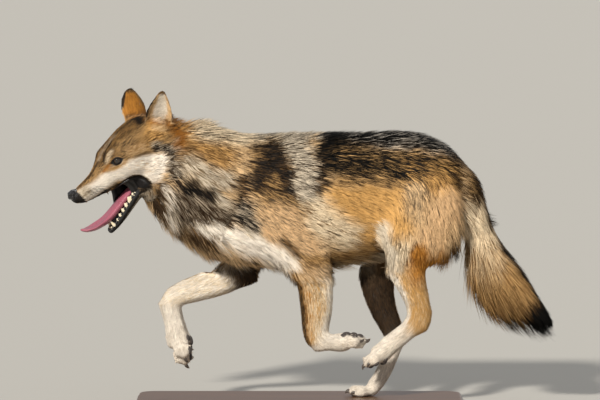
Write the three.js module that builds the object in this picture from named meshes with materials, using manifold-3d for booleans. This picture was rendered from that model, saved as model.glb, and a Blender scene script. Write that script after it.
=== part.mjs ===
// A grey wolf of the small Mexican kind, life-size, caught in mid-stride as a still museum model.
// Millimetres, +Z up. The wolf faces -X and its left side is towards -Y. The origin is the centre of the
// underside of the base. Only the right hind paw is down: the other three paws are in the air.
//
// The flesh is made whole, as lofts through named sections, and then parted with thin cuts into the
// pieces that a person would name. Every surface is at the tips of the coat.
import * as THREE from "three";
import { mergeVertices } from "three/addons/utils/BufferGeometryUtils.js";
import Module from "manifold-3d";

const wasm = await Module();
wasm.setup();

// ---- Driving dimensions ----

const GAP = 0.3; // between neighbouring pieces
const FAR = 3000; // larger than the whole model
const LEFT = -1; // the sign of Y on the wolf's left
const RIGHT = 1;

const BASE = { length: 820, width: 340, height: 24, corner: 45 };
const SOLE = BASE.height + GAP; // height of the planted paw's sole

// The head's frame: x forward, y to the wolf's left, z up, with its origin between the eyes.
const HEAD = { origin: [-474.75, -58, 621.5], pitch: 24, yaw: 27 }; // degrees down, and to the left
const JAW = { hinge: [-85, 0, -52], gape: 34 }; // in the head's frame; degrees below its forward axis
const EYE = { at: [-8, 37, 1.5], radius: 12, look: [0.62, 0.77, 0.12], length: 25, height: 14 };
const EARS = {
  [LEFT]: { base: [-131, 53, 30], tip: [-170, 86, 119], opening: [0.35, 0.92, 0.1] },
  [RIGHT]: { base: [-131, -60, 30], tip: [-163, -98, 121], opening: [0.1, -0.95, 0.1] },
};
const EAR_LENGTH = 102;
const EAR_WALL = 5.5;
const EAR_CUT = 0.26; // where the ears are cut from the head, as a share of their length

// ---- Shapes ----

const vector = (v) => new THREE.Vector3(...v);
const radians = THREE.MathUtils.degToRad;
const X = [1, 0, 0];
const Y = [0, 1, 0];
const Z = [0, 0, 1];

// A solid from a closed geometry, placed by a matrix.
function solid(geometry, matrix = new THREE.Matrix4()) {
  const bare = geometry.clone().applyMatrix4(matrix);
  bare.deleteAttribute("normal");
  bare.deleteAttribute("uv");
  const merged = mergeVertices(bare, 1e-3);
  const mesh = new wasm.Mesh({
    numProp: 3,
    vertProperties: merged.attributes.position.array,
    triVerts: new Uint32Array(merged.index.array),
  });
  return new wasm.Manifold(mesh);
}

function geometryOf(piece) {
  const mesh = piece.getMesh();
  const geometry = new THREE.BufferGeometry();
  geometry.setAttribute("position", new THREE.BufferAttribute(mesh.vertProperties, 3));
  geometry.setIndex(new THREE.BufferAttribute(mesh.triVerts, 1));
  geometry.computeVertexNormals();
  return geometry;
}

const joined = (...pieces) => pieces.reduce((all, piece) => all.add(piece));

// A frame with its x along forward and its z as near to up as that allows.
function frame(at, forward, up) {
  const x = vector(forward).normalize();
  const y = vector(up).cross(x).normalize();
  return new THREE.Matrix4().makeBasis(x, y, x.clone().cross(y)).setPosition(...at);
}

// The row of numbers at place u, from 0 to 1, on a Catmull-Rom curve through rows of numbers.
function along(rows, u) {
  const last = rows.length - 1;
  const i = Math.min(Math.floor(u * last), last - 1);
  const t = u * last - i;
  const [a, b, c, d] = [i - 1, i, i + 1, i + 2].map((k) => rows[Math.min(Math.max(k, 0), last)]);
  return b.map((_, k) => {
    const bend = (2 * a[k] - 5 * b[k] + 4 * c[k] - d[k]) * t * t;
    const twist = (3 * b[k] - a[k] - 3 * c[k] + d[k]) * t * t * t;
    return b[k] + ((c[k] - a[k]) * t + bend + twist) / 2;
  });
}

// A closed surface over rings of equally many points, with a pole at each end. The rings go round
// counterclockwise as seen from the end pole.
function wrap(rings, startPole, endPole) {
  const sides = rings[0].length;
  const points = [startPole, ...rings.flat(), endPole];
  const index = [];
  for (let s = 0; s < sides; s++) {
    const next = (s + 1) % sides;
    index.push(0, 1 + next, 1 + s);
    for (let r = 0; r < rings.length - 1; r++) {
      const [a, b] = [1 + r * sides + s, 1 + r * sides + next];
      index.push(a, b, b + sides, a, b + sides, a + sides);
    }
    const lastRing = 1 + (rings.length - 1) * sides;
    index.push(points.length - 1, lastRing + s, lastRing + next);
  }
  const geometry = new THREE.BufferGeometry().setFromPoints(points);
  geometry.setIndex(index);
  return geometry;
}

// A flesh shape through sections. Each row is [x, y, z, upper, lower, side]: the section's centre and
// its half sizes. up is the direction that upper is measured in, and axis fixes the sections' normal
// where it is given. Power above 2 squares the section, taper widens its upper half, and ends is how
// far each rounded end reaches. shape may move each point of the surface.
function loft(rows, { sides, up, axis, power = 2, taper = 0, ends = [0, 0], shape = (point) => point }) {
  const centre = (u) => vector(along(rows, u).slice(0, 3));
  const section = (u, grow, shift) => {
    const [, , , upper, lower, side] = along(rows, u);
    const step = 1e-3;
    const ahead = centre(Math.min(u + step, 1)).sub(centre(Math.max(u - step, 0)));
    const x = axis ? vector(axis) : ahead.normalize();
    const y = vector(up).cross(x).normalize();
    const z = x.clone().cross(y);
    const middle = centre(u).addScaledVector(x, shift);
    const ring = [];
    for (let s = 0; s < sides; s++) {
      const angle = (2 * Math.PI * s) / sides;
      const [c, n] = [Math.cos(angle), Math.sin(angle)];
      const wide = Math.sign(c) * Math.abs(c) ** (2 / power) * side * (1 + taper * n) * grow;
      const high = Math.sign(n) * Math.abs(n) ** (2 / power) * (n > 0 ? upper : lower) * grow;
      ring.push(shape(middle.clone().addScaledVector(y, wide).addScaledVector(z, high)));
    }
    return { ring, middle };
  };
  const last = rows.length - 1;
  const made = rows.map((_, i) => section(i / last, 1, 0));
  for (const angle of [32, 65].map(radians)) {
    if (ends[0]) made.unshift(section(0, Math.cos(angle), -ends[0] * Math.sin(angle)));
    if (ends[1]) made.push(section(1, Math.cos(angle), ends[1] * Math.sin(angle)));
  }
  const poles = [section(0, 0, -ends[0]).middle, section(1, 0, ends[1]).middle];
  return solid(wrap(made.map((m) => m.ring), ...poles));
}

// Rows of a loft whose sections all stand across X, from [x, top, bottom, half width].
function profile(rows) {
  return rows.map(([x, top, bottom, side]) => {
    const half = (top - bottom) / 2;
    return [x, 0, (top + bottom) / 2, half, half, side];
  });
}

// An ellipsoid with its half sizes along the axes of a frame.
function ellipsoid(matrix, at, sizes, detail) {
  const placed = new THREE.Matrix4().makeTranslation(...at).scale(vector(sizes)).premultiply(matrix);
  return solid(new THREE.SphereGeometry(1, detail, Math.round(detail * 0.7)), placed);
}

// An outline in X and Z, extruded both ways along Y.
const TO_SIDE = new THREE.Matrix4().makeBasis(vector(X), vector(Z), vector([0, -1, 0]));
function plate(outline, fromY, toY, curveSegments) {
  const options = { depth: toY - fromY, bevelEnabled: false, curveSegments };
  return solid(new THREE.ExtrudeGeometry(outline, options), TO_SIDE.clone().setPosition(0, toY, 0));
}

// ---- Regions: each gives a solid, grown by a distance ----

// The half of space on the side of a plane that its normal points to.
const beyond = (at, normal) => (grow) => {
  const n = vector(normal).normalize();
  const turn = new THREE.Quaternion().setFromUnitVectors(vector(Z), n);
  const middle = vector(at).addScaledVector(n, FAR / 2 - grow);
  const placed = new THREE.Matrix4().compose(middle, turn, new THREE.Vector3(1, 1, 1));
  return solid(new THREE.BoxGeometry(FAR, FAR, FAR), placed);
};

// The same, with the plane given in a frame.
const beyondIn = (matrix, at, normal) => {
  const place = vector(at).applyMatrix4(matrix);
  return beyond(place.toArray(), vector(normal).transformDirection(matrix).toArray());
};

// What several regions share, and what they cover together.
const within = (...regions) => (grow) => regions.map((one) => one(grow)).reduce((a, b) => a.intersect(b));
const either = (...regions) => (grow) => joined(...regions.map((one) => one(grow)));

// An oval seen from the side, leaning back by some degrees, from an inner depth outwards on one side.
const oval = ({ x, z, wide, high, lean, inner }, side) => (grow) => {
  const outline = new THREE.Shape();
  outline.absellipse(x, z, wide + grow, high + grow, 0, 2 * Math.PI, false, radians(lean));
  const depths = [side * (inner - grow), side * FAR].sort((a, b) => a - b);
  return plate(outline, ...depths, 6);
};

// ---- Head ----

const headTurn = new THREE.Euler(0, radians(HEAD.pitch), radians(180 + HEAD.yaw), "ZYX");
const HEAD_FRAME = new THREE.Matrix4().makeRotationFromEuler(headTurn).setPosition(...HEAD.origin);
const ACROSS = { up: Z, axis: X }; // sections across the head

// A place on the wolf's left, in the head's frame, or its mirror image on the right.
const mirrored = ([x, y, z], side) => [x, -side * y, z];

// Smooth swellings and hollows: each is where, how wide, and how far it moves the surface there.
const HEAD_FORM = [
  { at: [4, 28, 30], reach: 17, move: [5, 3, 4] }, // brow
  { at: [2, 48, 2], reach: 14, move: [-3, -6, 0] }, // eye socket
  { at: [20, 0, 26], reach: 13, move: [-3, 0, -5] }, // furrow at the stop
  { at: [-30, 70, -28], reach: 24, move: [0, 6, 0] }, // cheekbone
  { at: [-95, 88, -70], reach: 34, move: [-4, 12, -8] }, // cheek ruff
  { at: [60, 34, -30], reach: 20, move: [0, -3, 0] }, // hollow before the eye
  { at: [118, 22, -56], reach: 14, move: [0, 3, 0] }, // lip pad
  { at: [-85, 0, 80], reach: 22, move: [0, 0, -3] }, // dip between the ears
];

function sculpted(point) {
  const out = point.clone();
  for (const { at, reach, move } of HEAD_FORM) {
    const sides = at[1] ? [LEFT, RIGHT] : [LEFT];
    for (const side of sides) {
      const near = Math.exp(-point.distanceToSquared(vector(mirrored(at, side))) / reach ** 2);
      out.addScaledVector(vector(mirrored(move, side)), near);
    }
  }
  return out;
}

function skull() {
  // x, top, bottom, half width
  const rows = profile([
    [-185, 40, -96, 80],
    [-155, 56, -106, 84],
    [-125, 68, -108, 82],
    [-95, 71, -102, 78],
    [-65, 65, -92, 73],
    [-38, 55, -80, 67],
    [-14, 45, -74, 57],
    [6, 34, -71, 48],
    [24, 21, -70, 41],
    [40, 6, -69, 36],
    [56, -5, -68, 32],
    [76, -13, -67, 29],
    [96, -19, -66, 27],
    [112, -23, -62, 24],
    [122, -27, -57, 19.5],
    [128, -32, -52, 14],
  ]);
  return loft(rows, { ...ACROSS, sides: 20, power: 2.25, ends: [0, 4], shape: sculpted });
}

// The nose pad, grown by a distance.
function nosePad(grow) {
  const rows = profile([
    [110, -22, -38, 10],
    [120, -20, -43, 13.5],
    [129, -22, -44, 14.5],
    [134, -26, -41, 10],
  ]);
  const grown = rows.map(([x, y, z, ...halves]) => [x, y, z, ...halves.map((half) => half + grow)]);
  return loft(grown, { ...ACROSS, sides: 12, power: 2.3, ends: [0, 3 + grow] });
}

// The jaw's own frame runs forward from its hinge, turned down by the gape.
const gape = radians(JAW.gape);
const JAW_FRAME = frame(JAW.hinge, [Math.cos(gape), 0, -Math.sin(gape)], Z);

function jaw() {
  const rows = profile([
    [30, 6, -44, 44],
    [55, 5, -33, 38],
    [80, 4, -27, 32],
    [110, 3, -24.5, 26],
    [140, 2, -22, 21.5],
    [168, 2, -17, 18],
    [186, 1, -12, 13],
  ]);
  return loft(rows, { ...ACROSS, sides: 12, power: 2.5, ends: [0, 8] }).transform(JAW_FRAME.elements);
}

// The open mouth: the gape seen from the side, which goes right through, and the hollow behind the lips.
function mouth() {
  const gapeOutline = new THREE.Shape();
  gapeOutline.moveTo(200, -66);
  gapeOutline.lineTo(30, -69);
  gapeOutline.quadraticCurveTo(8, -60, -16, -56);
  gapeOutline.quadraticCurveTo(-42, -60, -42, -80);
  gapeOutline.quadraticCurveTo(-38, -92, -24, -92);
  gapeOutline.lineTo(200, -245);
  const inside = profile([
    [-62, -66, -84, 14],
    [-30, -54, -96, 20],
    [20, -50, -104, 20],
    [70, -51, -110, 17],
    [100, -53, -110, 13],
    [114, -56, -110, 8],
  ]);
  const hollow = loft(inside, { ...ACROSS, sides: 10, power: 2.6, ends: [6, 4] });
  return plate(gapeOutline, -150, 150, 8).add(hollow);
}

// Teeth down each side, from the canine back, as [x, y, radius, height], and three small front teeth.
const LOWER_TEETH = {
  root: -3,
  cheek: [
    [171, 12, 4, 15],
    [155, 14, 3, 6],
    [142, 15, 3.6, 8],
    [128, 16.5, 4, 9],
    [113, 18.5, 4.4, 10],
    [96, 21, 6, 12],
    [82, 23, 4.5, 8],
  ],
  front: 184,
};
const UPPER_TEETH = {
  root: -52,
  cheek: [
    [104, 17, 4.4, 18],
    [84, 21, 3.4, 17],
    [66, 22.5, 4, 18],
    [44, 24.5, 6, 21],
  ],
  front: 124,
};
const FRONT_TOOTH = { places: [2, 5.5, 9], radius: 1.9, height: 6 };

function tooth(matrix, [x, y, z], radius, height) {
  const tip = radius / 4;
  const rows = [
    [x, y, z, radius, radius, radius * 0.8],
    [x + 1, y, z + height, tip, tip, tip],
  ];
  return loft(rows, { sides: 3, up: X }).transform(matrix.elements);
}

function teeth(matrix, { root, cheek, front }, up) {
  const made = [];
  for (const side of [LEFT, RIGHT]) {
    for (const [x, y, radius, height] of cheek) {
      made.push(tooth(matrix, [x, side * y, root], radius, up * height));
    }
    for (const y of FRONT_TOOTH.places) {
      made.push(tooth(matrix, [front - y / 3, side * y, root], FRONT_TOOTH.radius, up * FRONT_TOOTH.height));
    }
  }
  return joined(...made);
}

// The tongue lies along the jaw, over the front teeth and out past the chin, and its tip curls up.
function tongue() {
  const rows = [
    [80, 0, 10, 5, 5, 12],
    [105, 0, 18, 5, 5, 17],
    [130, 0, 24, 5, 5, 21],
    [155, 0, 28, 5, 5, 22],
    [172, 0, 31, 4.5, 4.5, 22],
    [190, 0, 37, 4, 4, 22],
    [205, 0, 45, 4, 4, 21],
    [215, 0, 54, 4, 4, 18],
    [220, 0, 61, 3.5, 3.5, 12],
  ];
  return loft(rows, { sides: 10, up: Z, power: 2.2, ends: [4, 7] }).transform(JAW_FRAME.elements);
}

// The opening between the lids: a pointed oval, cut in from the front as far as the eye's middle.
function lidOpening(side) {
  const half = EYE.length / 2;
  const lens = new THREE.Shape();
  lens.moveTo(-half, 0);
  lens.quadraticCurveTo(0, EYE.height, half, 0);
  lens.quadraticCurveTo(0, -EYE.height, -half, 0);
  const block = new THREE.ExtrudeGeometry(lens, { depth: 40, bevelEnabled: false, curveSegments: 6 });
  const outwards = new THREE.Matrix4().makeBasis(vector(Y), vector(Z), vector(X));
  const placed = frame(mirrored(EYE.at, side), mirrored(EYE.look, side), [0.2, 0, 1]);
  return solid(block, outwards.premultiply(placed));
}

const eyeball = (side, grow) => {
  const radius = EYE.radius + grow;
  return ellipsoid(HEAD_FRAME, mirrored(EYE.at, side), [radius, radius, radius], 10);
};

// An ear's frame: x from its base to its tip, z the way it opens.
const earFrame = (side) => {
  const { base, tip, opening } = EARS[side];
  return frame(base, vector(tip).sub(vector(base)).toArray(), opening).premultiply(HEAD_FRAME);
};
const earCut = (side) => beyondIn(earFrame(side), [EAR_LENGTH * EAR_CUT, 0, 0], X);

// A cupped leaf: crescent sections that narrow to the tip.
function ear(side) {
  // share of the length, half width, depth of the cup, how far round the wall goes in degrees
  const rows = [
    [-0.2, 33, 24, 118],
    [0, 36, 24, 112],
    [0.2, 38, 21, 104],
    [0.4, 35.5, 17, 98],
    [0.6, 28, 13, 92],
    [0.78, 18.5, 9.5, 88],
    [0.93, 10.5, 6.5, 86],
    [1, 5, 4.6, 84],
  ];
  const turns = [-1, -0.5, 0, 0.5, 1]; // shares of the way round the wall
  const rings = rows.map(([share, wide, deep, reach]) => {
    const wall = Math.min(EAR_WALL, deep * 0.75);
    const arc = (inset) => (turn) => {
      const angle = radians(reach * turn);
      const across = (wide - inset) * Math.sin(angle);
      return new THREE.Vector3(share * EAR_LENGTH, across, (inset - deep) * Math.cos(angle));
    };
    return [...turns.map(arc(0)), ...turns.toReversed().map(arc(wall))];
  });
  const middle = (ring) => ring[2].clone().lerp(ring[7], 0.5);
  const poles = [rings[0], rings[rings.length - 1]].map(middle);
  return solid(wrap(rings, ...poles)).transform(earFrame(side).elements);
}

function head() {
  let flesh = skull().add(jaw()).subtract(mouth()).subtract(nosePad(GAP));
  for (const side of [LEFT, RIGHT]) flesh = flesh.subtract(lidOpening(side));
  flesh = flesh.transform(HEAD_FRAME.elements);
  for (const side of [LEFT, RIGHT]) {
    flesh = flesh.add(ear(side).subtract(earCut(side)(GAP / 2))).subtract(eyeball(side, GAP));
  }
  return flesh;
}

// ---- Neck, trunk and tail ----

function neck() {
  const rows = [
    [-392, -16, 648, 66, 84, 66],
    [-356, -10, 622, 114, 92, 86],
    [-320, -6, 594, 147, 110, 100],
    [-270, -2, 574, 150, 138, 106],
    [-215, 0, 553, 150, 150, 110],
    [-150, 0, 529, 160, 168, 110],
  ];
  return loft(rows, { sides: 18, up: [0.3, 0, 1], power: 2.1, taper: -0.04 });
}

function trunk() {
  // x, top, bottom, half width
  const rows = profile([
    [-238, 640, 416, 62],
    [-205, 672, 376, 88],
    [-150, 686, 356, 104],
    [-90, 689, 348, 113],
    [-25, 691, 344, 117],
    [45, 695, 352, 115],
    [115, 694, 366, 108],
    [185, 695, 374, 99],
    [255, 699, 392, 96],
    [320, 688, 412, 97],
    [378, 655, 432, 86],
    [425, 600, 452, 58],
  ]);
  return loft(rows, { ...ACROSS, sides: 18, power: 2.15, taper: -0.05, ends: [0, 34] });
}

// The brush hangs down and back, and its long hair streams below it.
function tail() {
  const rows = [
    [412, 0, 578, 32, 36, 34],
    [432, 0, 530, 34, 36, 34],
    [443, 2, 478, 32, 40, 35],
    [456, 4, 428, 33, 56, 39],
    [480, 6, 380, 42, 84, 45],
    [508, 8, 332, 54, 86, 50],
    [542, 9, 290, 46, 64, 46],
    [582, 10, 253, 30, 36, 32],
    [614, 10, 226, 15, 16, 16],
  ];
  return loft(rows, { sides: 11, up: [1, 0, 0.8], ends: [0, 26] });
}

// ---- Legs ----

// Each row is [x, out, z, fore, aft, side], where out is the distance from the middle of the body.
const FORE = [-1, 0, 0];
const LEGS = {
  fore_left: {
    side: LEFT,
    upper: [
      [-100, 70, 560, 70, 62, 42],
      [-60, 78, 470, 66, 70, 44],
      [-5, 78, 400, 54, 58, 38],
      [30, 74, 350, 49, 51, 31],
    ],
    lower: [
      [30, 74, 392, 50, 49, 32],
      [35, 72, 340, 50, 49, 29],
      [39, 69, 300, 46, 47, 25.5],
      [40, 67, 262, 43, 44, 23],
      [40, 65, 222, 39, 40, 22],
      [38, 64, 190, 34, 35, 22],
      [43, 63, 171, 28, 28, 22],
    ],
    lowerUp: FORE,
    foot: {
      at: [44, 63, 169],
      toes: [1, 0, 0.02],
      back: [0, 0, -1],
      length: 118,
      shank: [25, 25, 21],
      paw: 1.12,
    },
  },
  fore_right: {
    side: RIGHT,
    upper: [
      [-120, 70, 560, 66, 62, 42],
      [-128, 76, 470, 62, 66, 42],
      [-134, 72, 400, 56, 56, 36],
      [-146, 66, 348, 44, 40, 30],
    ],
    lower: [
      [-118, 64, 352, 48, 45, 30],
      [-160, 62, 332, 45, 43, 28],
      [-205, 59, 313, 41, 40, 25],
      [-250, 57, 297, 37, 36, 23],
      [-290, 55, 285, 33, 33, 22],
      [-318, 54, 272, 29, 29, 22],
      [-326, 53, 258, 28, 28, 22],
    ],
    lowerUp: Z,
    foot: {
      at: [-328, 53, 258],
      toes: [0.24, 0, -0.97],
      back: [-0.97, 0, -0.24],
      length: 150,
      shank: [31, 31, 24],
      paw: 1.28,
    },
  },
  hind_left: {
    side: LEFT,
    upper: [
      [350, 56, 590, 76, 62, 40],
      [330, 66, 530, 92, 88, 46],
      [305, 72, 470, 94, 100, 46],
      [280, 74, 420, 80, 94, 42],
      [258, 72, 376, 56, 64, 35],
      [262, 68, 345, 44, 50, 30],
    ],
    lower: [
      [250, 72, 380, 46, 53, 32],
      [266, 70, 340, 43, 49, 29],
      [284, 66, 298, 36, 37, 24],
      [293, 63, 266, 33, 34, 21],
      [298, 60, 238, 32, 36, 20],
      [286, 58, 212, 32, 37, 20],
    ],
    lowerUp: FORE,
    foot: {
      at: [288, 58, 216],
      toes: [-0.78, 0, -0.62],
      back: [-0.62, 0, 0.78],
      length: 166,
      shank: [27, 30, 20],
      paw: 1.02,
    },
  },
  hind_right: {
    side: RIGHT,
    upper: [
      [340, 56, 590, 76, 62, 40],
      [312, 66, 530, 92, 92, 46],
      [272, 72, 470, 90, 100, 46],
      [232, 74, 420, 74, 90, 42],
      [200, 72, 378, 52, 66, 35],
      [192, 68, 345, 42, 48, 30],
    ],
    lower: [
      [184, 72, 382, 45, 57, 32],
      [187, 69, 335, 44, 55, 29],
      [195, 64, 285, 40, 46, 24],
      [208, 59, 240, 35, 38, 21],
      [228, 55, 200, 30, 32, 19],
      [238, 52, 172, 27, 33, 19],
    ],
    lowerUp: FORE,
    planted: [
      [242, 52, 178, 26, 32, 19],
      [232, 49, 140, 22, 23, 18],
      [216, 46, 98, 21, 22, 18],
      [200, 44, 66, 21, 20, 19],
      [184, 43, 46, 20, 20, 21],
    ],
  },
};

// The four toes of a paw and their claws, as [forward, sideways, up, half length].
const TOES = [
  [21, 9, -2, 22],
  [9, 22, -4, 20],
];

function claw(matrix, [x, y, z], scale) {
  const rows = [
    [x, y, z, 3.6, 3.6, 2.6],
    [x + 15 * scale, y, z - 5, 1, 1, 0.8],
  ];
  return loft(rows, { sides: 3, up: Z }).transform(matrix.elements);
}

function toes(matrix, scale) {
  const made = [];
  for (const side of [LEFT, RIGHT]) {
    for (const [forward, sideways, up, half] of TOES) {
      const at = [forward * scale, side * sideways * scale, up * scale];
      made.push(ellipsoid(matrix, at, [half * scale, 10.5 * scale, 17 * scale], 6));
      made.push(claw(matrix, [at[0] + half * scale * 0.72, at[1], at[2] - 1], scale));
    }
  }
  return joined(...made);
}

// A lifted foot, from the wrist or hock to the toes. toes and back are where its toes and its upper
// side point, and shank holds the half sizes of its shaft.
function foot({ at: [x, out, z], toes: forward, back, length, shank: [upper, lower, side], paw }, bodySide) {
  const placed = frame([x, bodySide * out, z], forward, back);
  const shaft = length - 46;
  const rows = [
    [-10, 0, 0, upper, lower, side],
    [shaft * 0.35, 0, 0, upper * 0.88, lower * 0.88, side * 0.95],
    [shaft * 0.75, 0, 0, upper * 0.9, lower * 0.95, side * 1.1],
    [shaft + 2, 0, -2, upper * 0.8, lower * 0.9, side * 1.25],
  ];
  const made = loft(rows, { sides: 8, up: Z, ends: [0, 16] }).transform(placed.elements);
  const pawFrame = placed.clone().multiply(new THREE.Matrix4().makeTranslation(shaft + 6, 0, 0));
  return made.add(toes(pawFrame, paw));
}

// The planted foot slopes down from the hock, and its toes lie flat on the base.
function plantedFoot(rows) {
  const shaft = loft(rows, { sides: 8, up: [-1, 0, 0.3], ends: [0, 10] });
  const pawFrame = frame([162, 43, SOLE + 15], [-1, 0.03, 0], Z);
  const pad = ellipsoid(pawFrame, [-8, 0, -4], [28, 22, 15], 8);
  return joined(shaft, pad, toes(pawFrame, 1.02)).intersect(beyond([0, 0, SOLE], Z)(0));
}

function leg({ side, upper, lower, lowerUp, foot: lifted, planted }) {
  const placed = (rows) => rows.map(([x, out, ...others]) => [x, side * out, ...others]);
  return joined(
    loft(placed(upper), { sides: 11, up: FORE, ends: [0, 18] }),
    loft(placed(lower), { sides: 9, up: lowerUp, ends: [0, 15] }),
    lifted ? foot(lifted, side) : plantedFoot(placed(planted)),
  );
}

// ---- Base ----

function base() {
  const { length, width, height, corner } = BASE;
  const [x, y] = [length / 2 - corner, width / 2 - corner];
  const outline = new THREE.Shape();
  outline.absarc(x, y, corner, 0, Math.PI / 2);
  outline.absarc(-x, y, corner, Math.PI / 2, Math.PI);
  outline.absarc(-x, -y, corner, Math.PI, 1.5 * Math.PI);
  outline.absarc(x, -y, corner, 1.5 * Math.PI, 2 * Math.PI);
  const options = { depth: height, bevelEnabled: false, curveSegments: 5 };
  return solid(new THREE.ExtrudeGeometry(outline, options));
}

// ---- The parting ----

// The largest body of a solid: what a cut leaves as crumbs is dropped.
function largest(piece) {
  return piece.decompose().reduce((best, one) => (one.volume() > best.volume() ? one : best));
}

// Splits a solid at a region's border, leaving a thin gap: what is inside it, and what is outside.
function part(whole, region) {
  return [largest(whole.intersect(region(-GAP / 2))), whole.subtract(region(GAP / 2))];
}

// A block from one X to another on one side of the body, below a height.
const under = (fromX, toX, top, side) =>
  within(
    beyond([fromX, 0, 0], X),
    beyond([toX, 0, 0], FORE),
    beyond([0, 0, top], [0, 0, -1]),
    beyond([0, side * 8, 0], [0, side, 0]),
  );

// How each leg is cut: the oval where it joins the trunk, the space below it that holds the rest of
// the leg, and the planes at its two joints as [place, direction towards the toes].
const LEG_CUTS = {
  fore_left: {
    joint: { x: -30, z: 455, wide: 84, high: 158, lean: 33, inner: 45 },
    below: within(under(-60, 200, 342, LEFT), beyond([175, 0, 150], [-0.6, 0, 0.8])),
    middle: [[34, 0, 332], [0, 0, -1]],
    ankle: [[58, 0, 190], [0.8, 0, -0.6]],
  },
  fore_right: {
    joint: { x: -133, z: 450, wide: 74, high: 140, lean: -7, inner: 45 },
    below: under(-420, -60, 342, RIGHT),
    middle: [[-176, 0, 330], [-0.9, 0, -0.43]],
    ankle: [[-326, 0, 244], [0.1, 0, -1]],
  },
  hind_left: {
    joint: { x: 306, z: 472, wide: 98, high: 140, lean: -22, inner: 25 },
    below: under(120, 420, 364, LEFT),
    middle: [[256, 0, 352], [0.3, 0, -1]],
    ankle: [[268, 0, 200], [-0.8, 0, -0.6]],
  },
  hind_right: {
    joint: { x: 262, z: 470, wide: 98, high: 145, lean: -29, inner: 25 },
    below: under(110, 420, 360, RIGHT),
    middle: [[188, 0, 345], [0.1, 0, -1]],
    ankle: [[236, 0, 152], [-0.2, 0, -1]],
  },
};
const LEG_NAMES = { fore: ["upper_arm", "forearm", "forepaw"], hind: ["thigh", "shank", "hindpaw"] };

function wolf() {
  const pieces = {};
  let rest = joined(head(), neck(), trunk(), tail(), ...Object.values(LEGS).map(leg));
  [pieces.tail, rest] = part(rest, beyond([417, 0, 520], [0.99, 0, -0.12]));

  for (const [name, { joint, below, middle, ankle }] of Object.entries(LEG_CUTS)) {
    const [kind, sideName] = name.split("_");
    const [upper, lower, paw] = LEG_NAMES[kind].map((one) => `${one}_${sideName}`);
    let whole;
    [whole, rest] = part(rest, either(oval(joint, LEGS[name].side), below));
    [pieces[paw], whole] = part(whole, beyond(...ankle));
    [pieces[lower], whole] = part(whole, beyond(...middle));
    pieces[upper] = largest(whole);
  }

  const jawWorld = HEAD_FRAME.clone().multiply(JAW_FRAME);
  const jawSpace = within(
    beyondIn(jawWorld, [62, 0, 0], X),
    beyondIn(jawWorld, [0, 0, -42], Z),
    beyondIn(HEAD_FRAME, [0, 0, -76], [0, 0, -1]),
  );
  [pieces.lower_jaw, rest] = part(rest, jawSpace);
  [pieces.head, rest] = part(rest, beyond([-342.5, 0, 621.5], [-0.93, -0.2, 0.31]));
  [pieces.neck, rest] = part(rest, beyond([-212, 0, 558], [-0.904, 0, 0.428]));
  pieces.trunk = largest(rest);

  pieces.lower_jaw = pieces.lower_jaw.add(teeth(jawWorld, LOWER_TEETH, 1));
  pieces.head = pieces.head.add(teeth(HEAD_FRAME, UPPER_TEETH, -1));
  pieces.nose = nosePad(0).transform(HEAD_FRAME.elements);
  pieces.tongue = tongue().transform(HEAD_FRAME.elements);
  for (const [side, name] of [[LEFT, "left"], [RIGHT, "right"]]) {
    pieces[`eye_${name}`] = eyeball(side, 0);
    pieces[`ear_${name}`] = ear(side).intersect(earCut(side)(-GAP / 2));
  }
  return pieces;
}

const FINISHES = {
  fur: { color: 0x9a8468, roughness: 0.95 },
  nose: { color: 0x17130f, roughness: 0.4 },
  tongue: { color: 0xd98c8c, roughness: 0.45 },
  eye: { color: 0x6a4016, roughness: 0.1 },
  stand: { color: 0x6f4a2c, roughness: 0.5 },
};

const group = new THREE.Group();
for (const [name, piece] of Object.entries({ ...wolf(), stand_base: base() })) {
  const finish = FINISHES[name.split("_")[0]] ?? FINISHES.fur;
  const mesh = new THREE.Mesh(geometryOf(piece), new THREE.MeshStandardMaterial({ ...finish, metalness: 0 }));
  mesh.name = name;
  group.add(mesh);
}

export default group;
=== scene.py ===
from itertools import product

import bpy
import numpy as np
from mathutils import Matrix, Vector
from mathutils.bvhtree import BVHTree
from mathutils.kdtree import KDTree


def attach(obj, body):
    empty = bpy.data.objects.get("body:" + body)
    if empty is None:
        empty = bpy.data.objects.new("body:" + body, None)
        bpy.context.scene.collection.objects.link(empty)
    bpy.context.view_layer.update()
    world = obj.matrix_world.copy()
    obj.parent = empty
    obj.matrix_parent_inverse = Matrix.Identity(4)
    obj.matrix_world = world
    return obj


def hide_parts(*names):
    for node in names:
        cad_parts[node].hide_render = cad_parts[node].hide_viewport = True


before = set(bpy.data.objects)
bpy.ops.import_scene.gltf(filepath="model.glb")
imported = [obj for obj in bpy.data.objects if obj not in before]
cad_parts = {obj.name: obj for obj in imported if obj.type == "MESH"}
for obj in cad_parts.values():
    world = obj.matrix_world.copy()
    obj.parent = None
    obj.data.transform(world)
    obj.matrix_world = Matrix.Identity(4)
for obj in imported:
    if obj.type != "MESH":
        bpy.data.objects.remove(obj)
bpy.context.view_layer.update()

MM = 0.001
rng = np.random.default_rng(11)

LEFT = -1  # the sign of Y on the wolf's left
RIGHT = 1
LEGS = {
    "fore_left": ("upper_arm_left", "forearm_left", "forepaw_left"),
    "fore_right": ("upper_arm_right", "forearm_right", "forepaw_right"),
    "hind_left": ("thigh_left", "shank_left", "hindpaw_left"),
    "hind_right": ("thigh_right", "shank_right", "hindpaw_right"),
}
BODY = ["head", "lower_jaw", "ear_left", "ear_right", "neck", "trunk", "tail"]
FLESH = BODY + [node for nodes in LEGS.values() for node in nodes]


# ---- Small tools ----

def unit(v):
    v = np.asarray(v, float)
    return v / np.maximum(np.linalg.norm(v, axis=-1, keepdims=True), 1e-9)


def rise(x, low, high):
    """0 below low, 1 above high and smooth between; falls instead where low is above high."""
    t = np.clip((x - low) / (high - low), 0, 1)
    return t * t * (3 - 2 * t)


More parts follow.
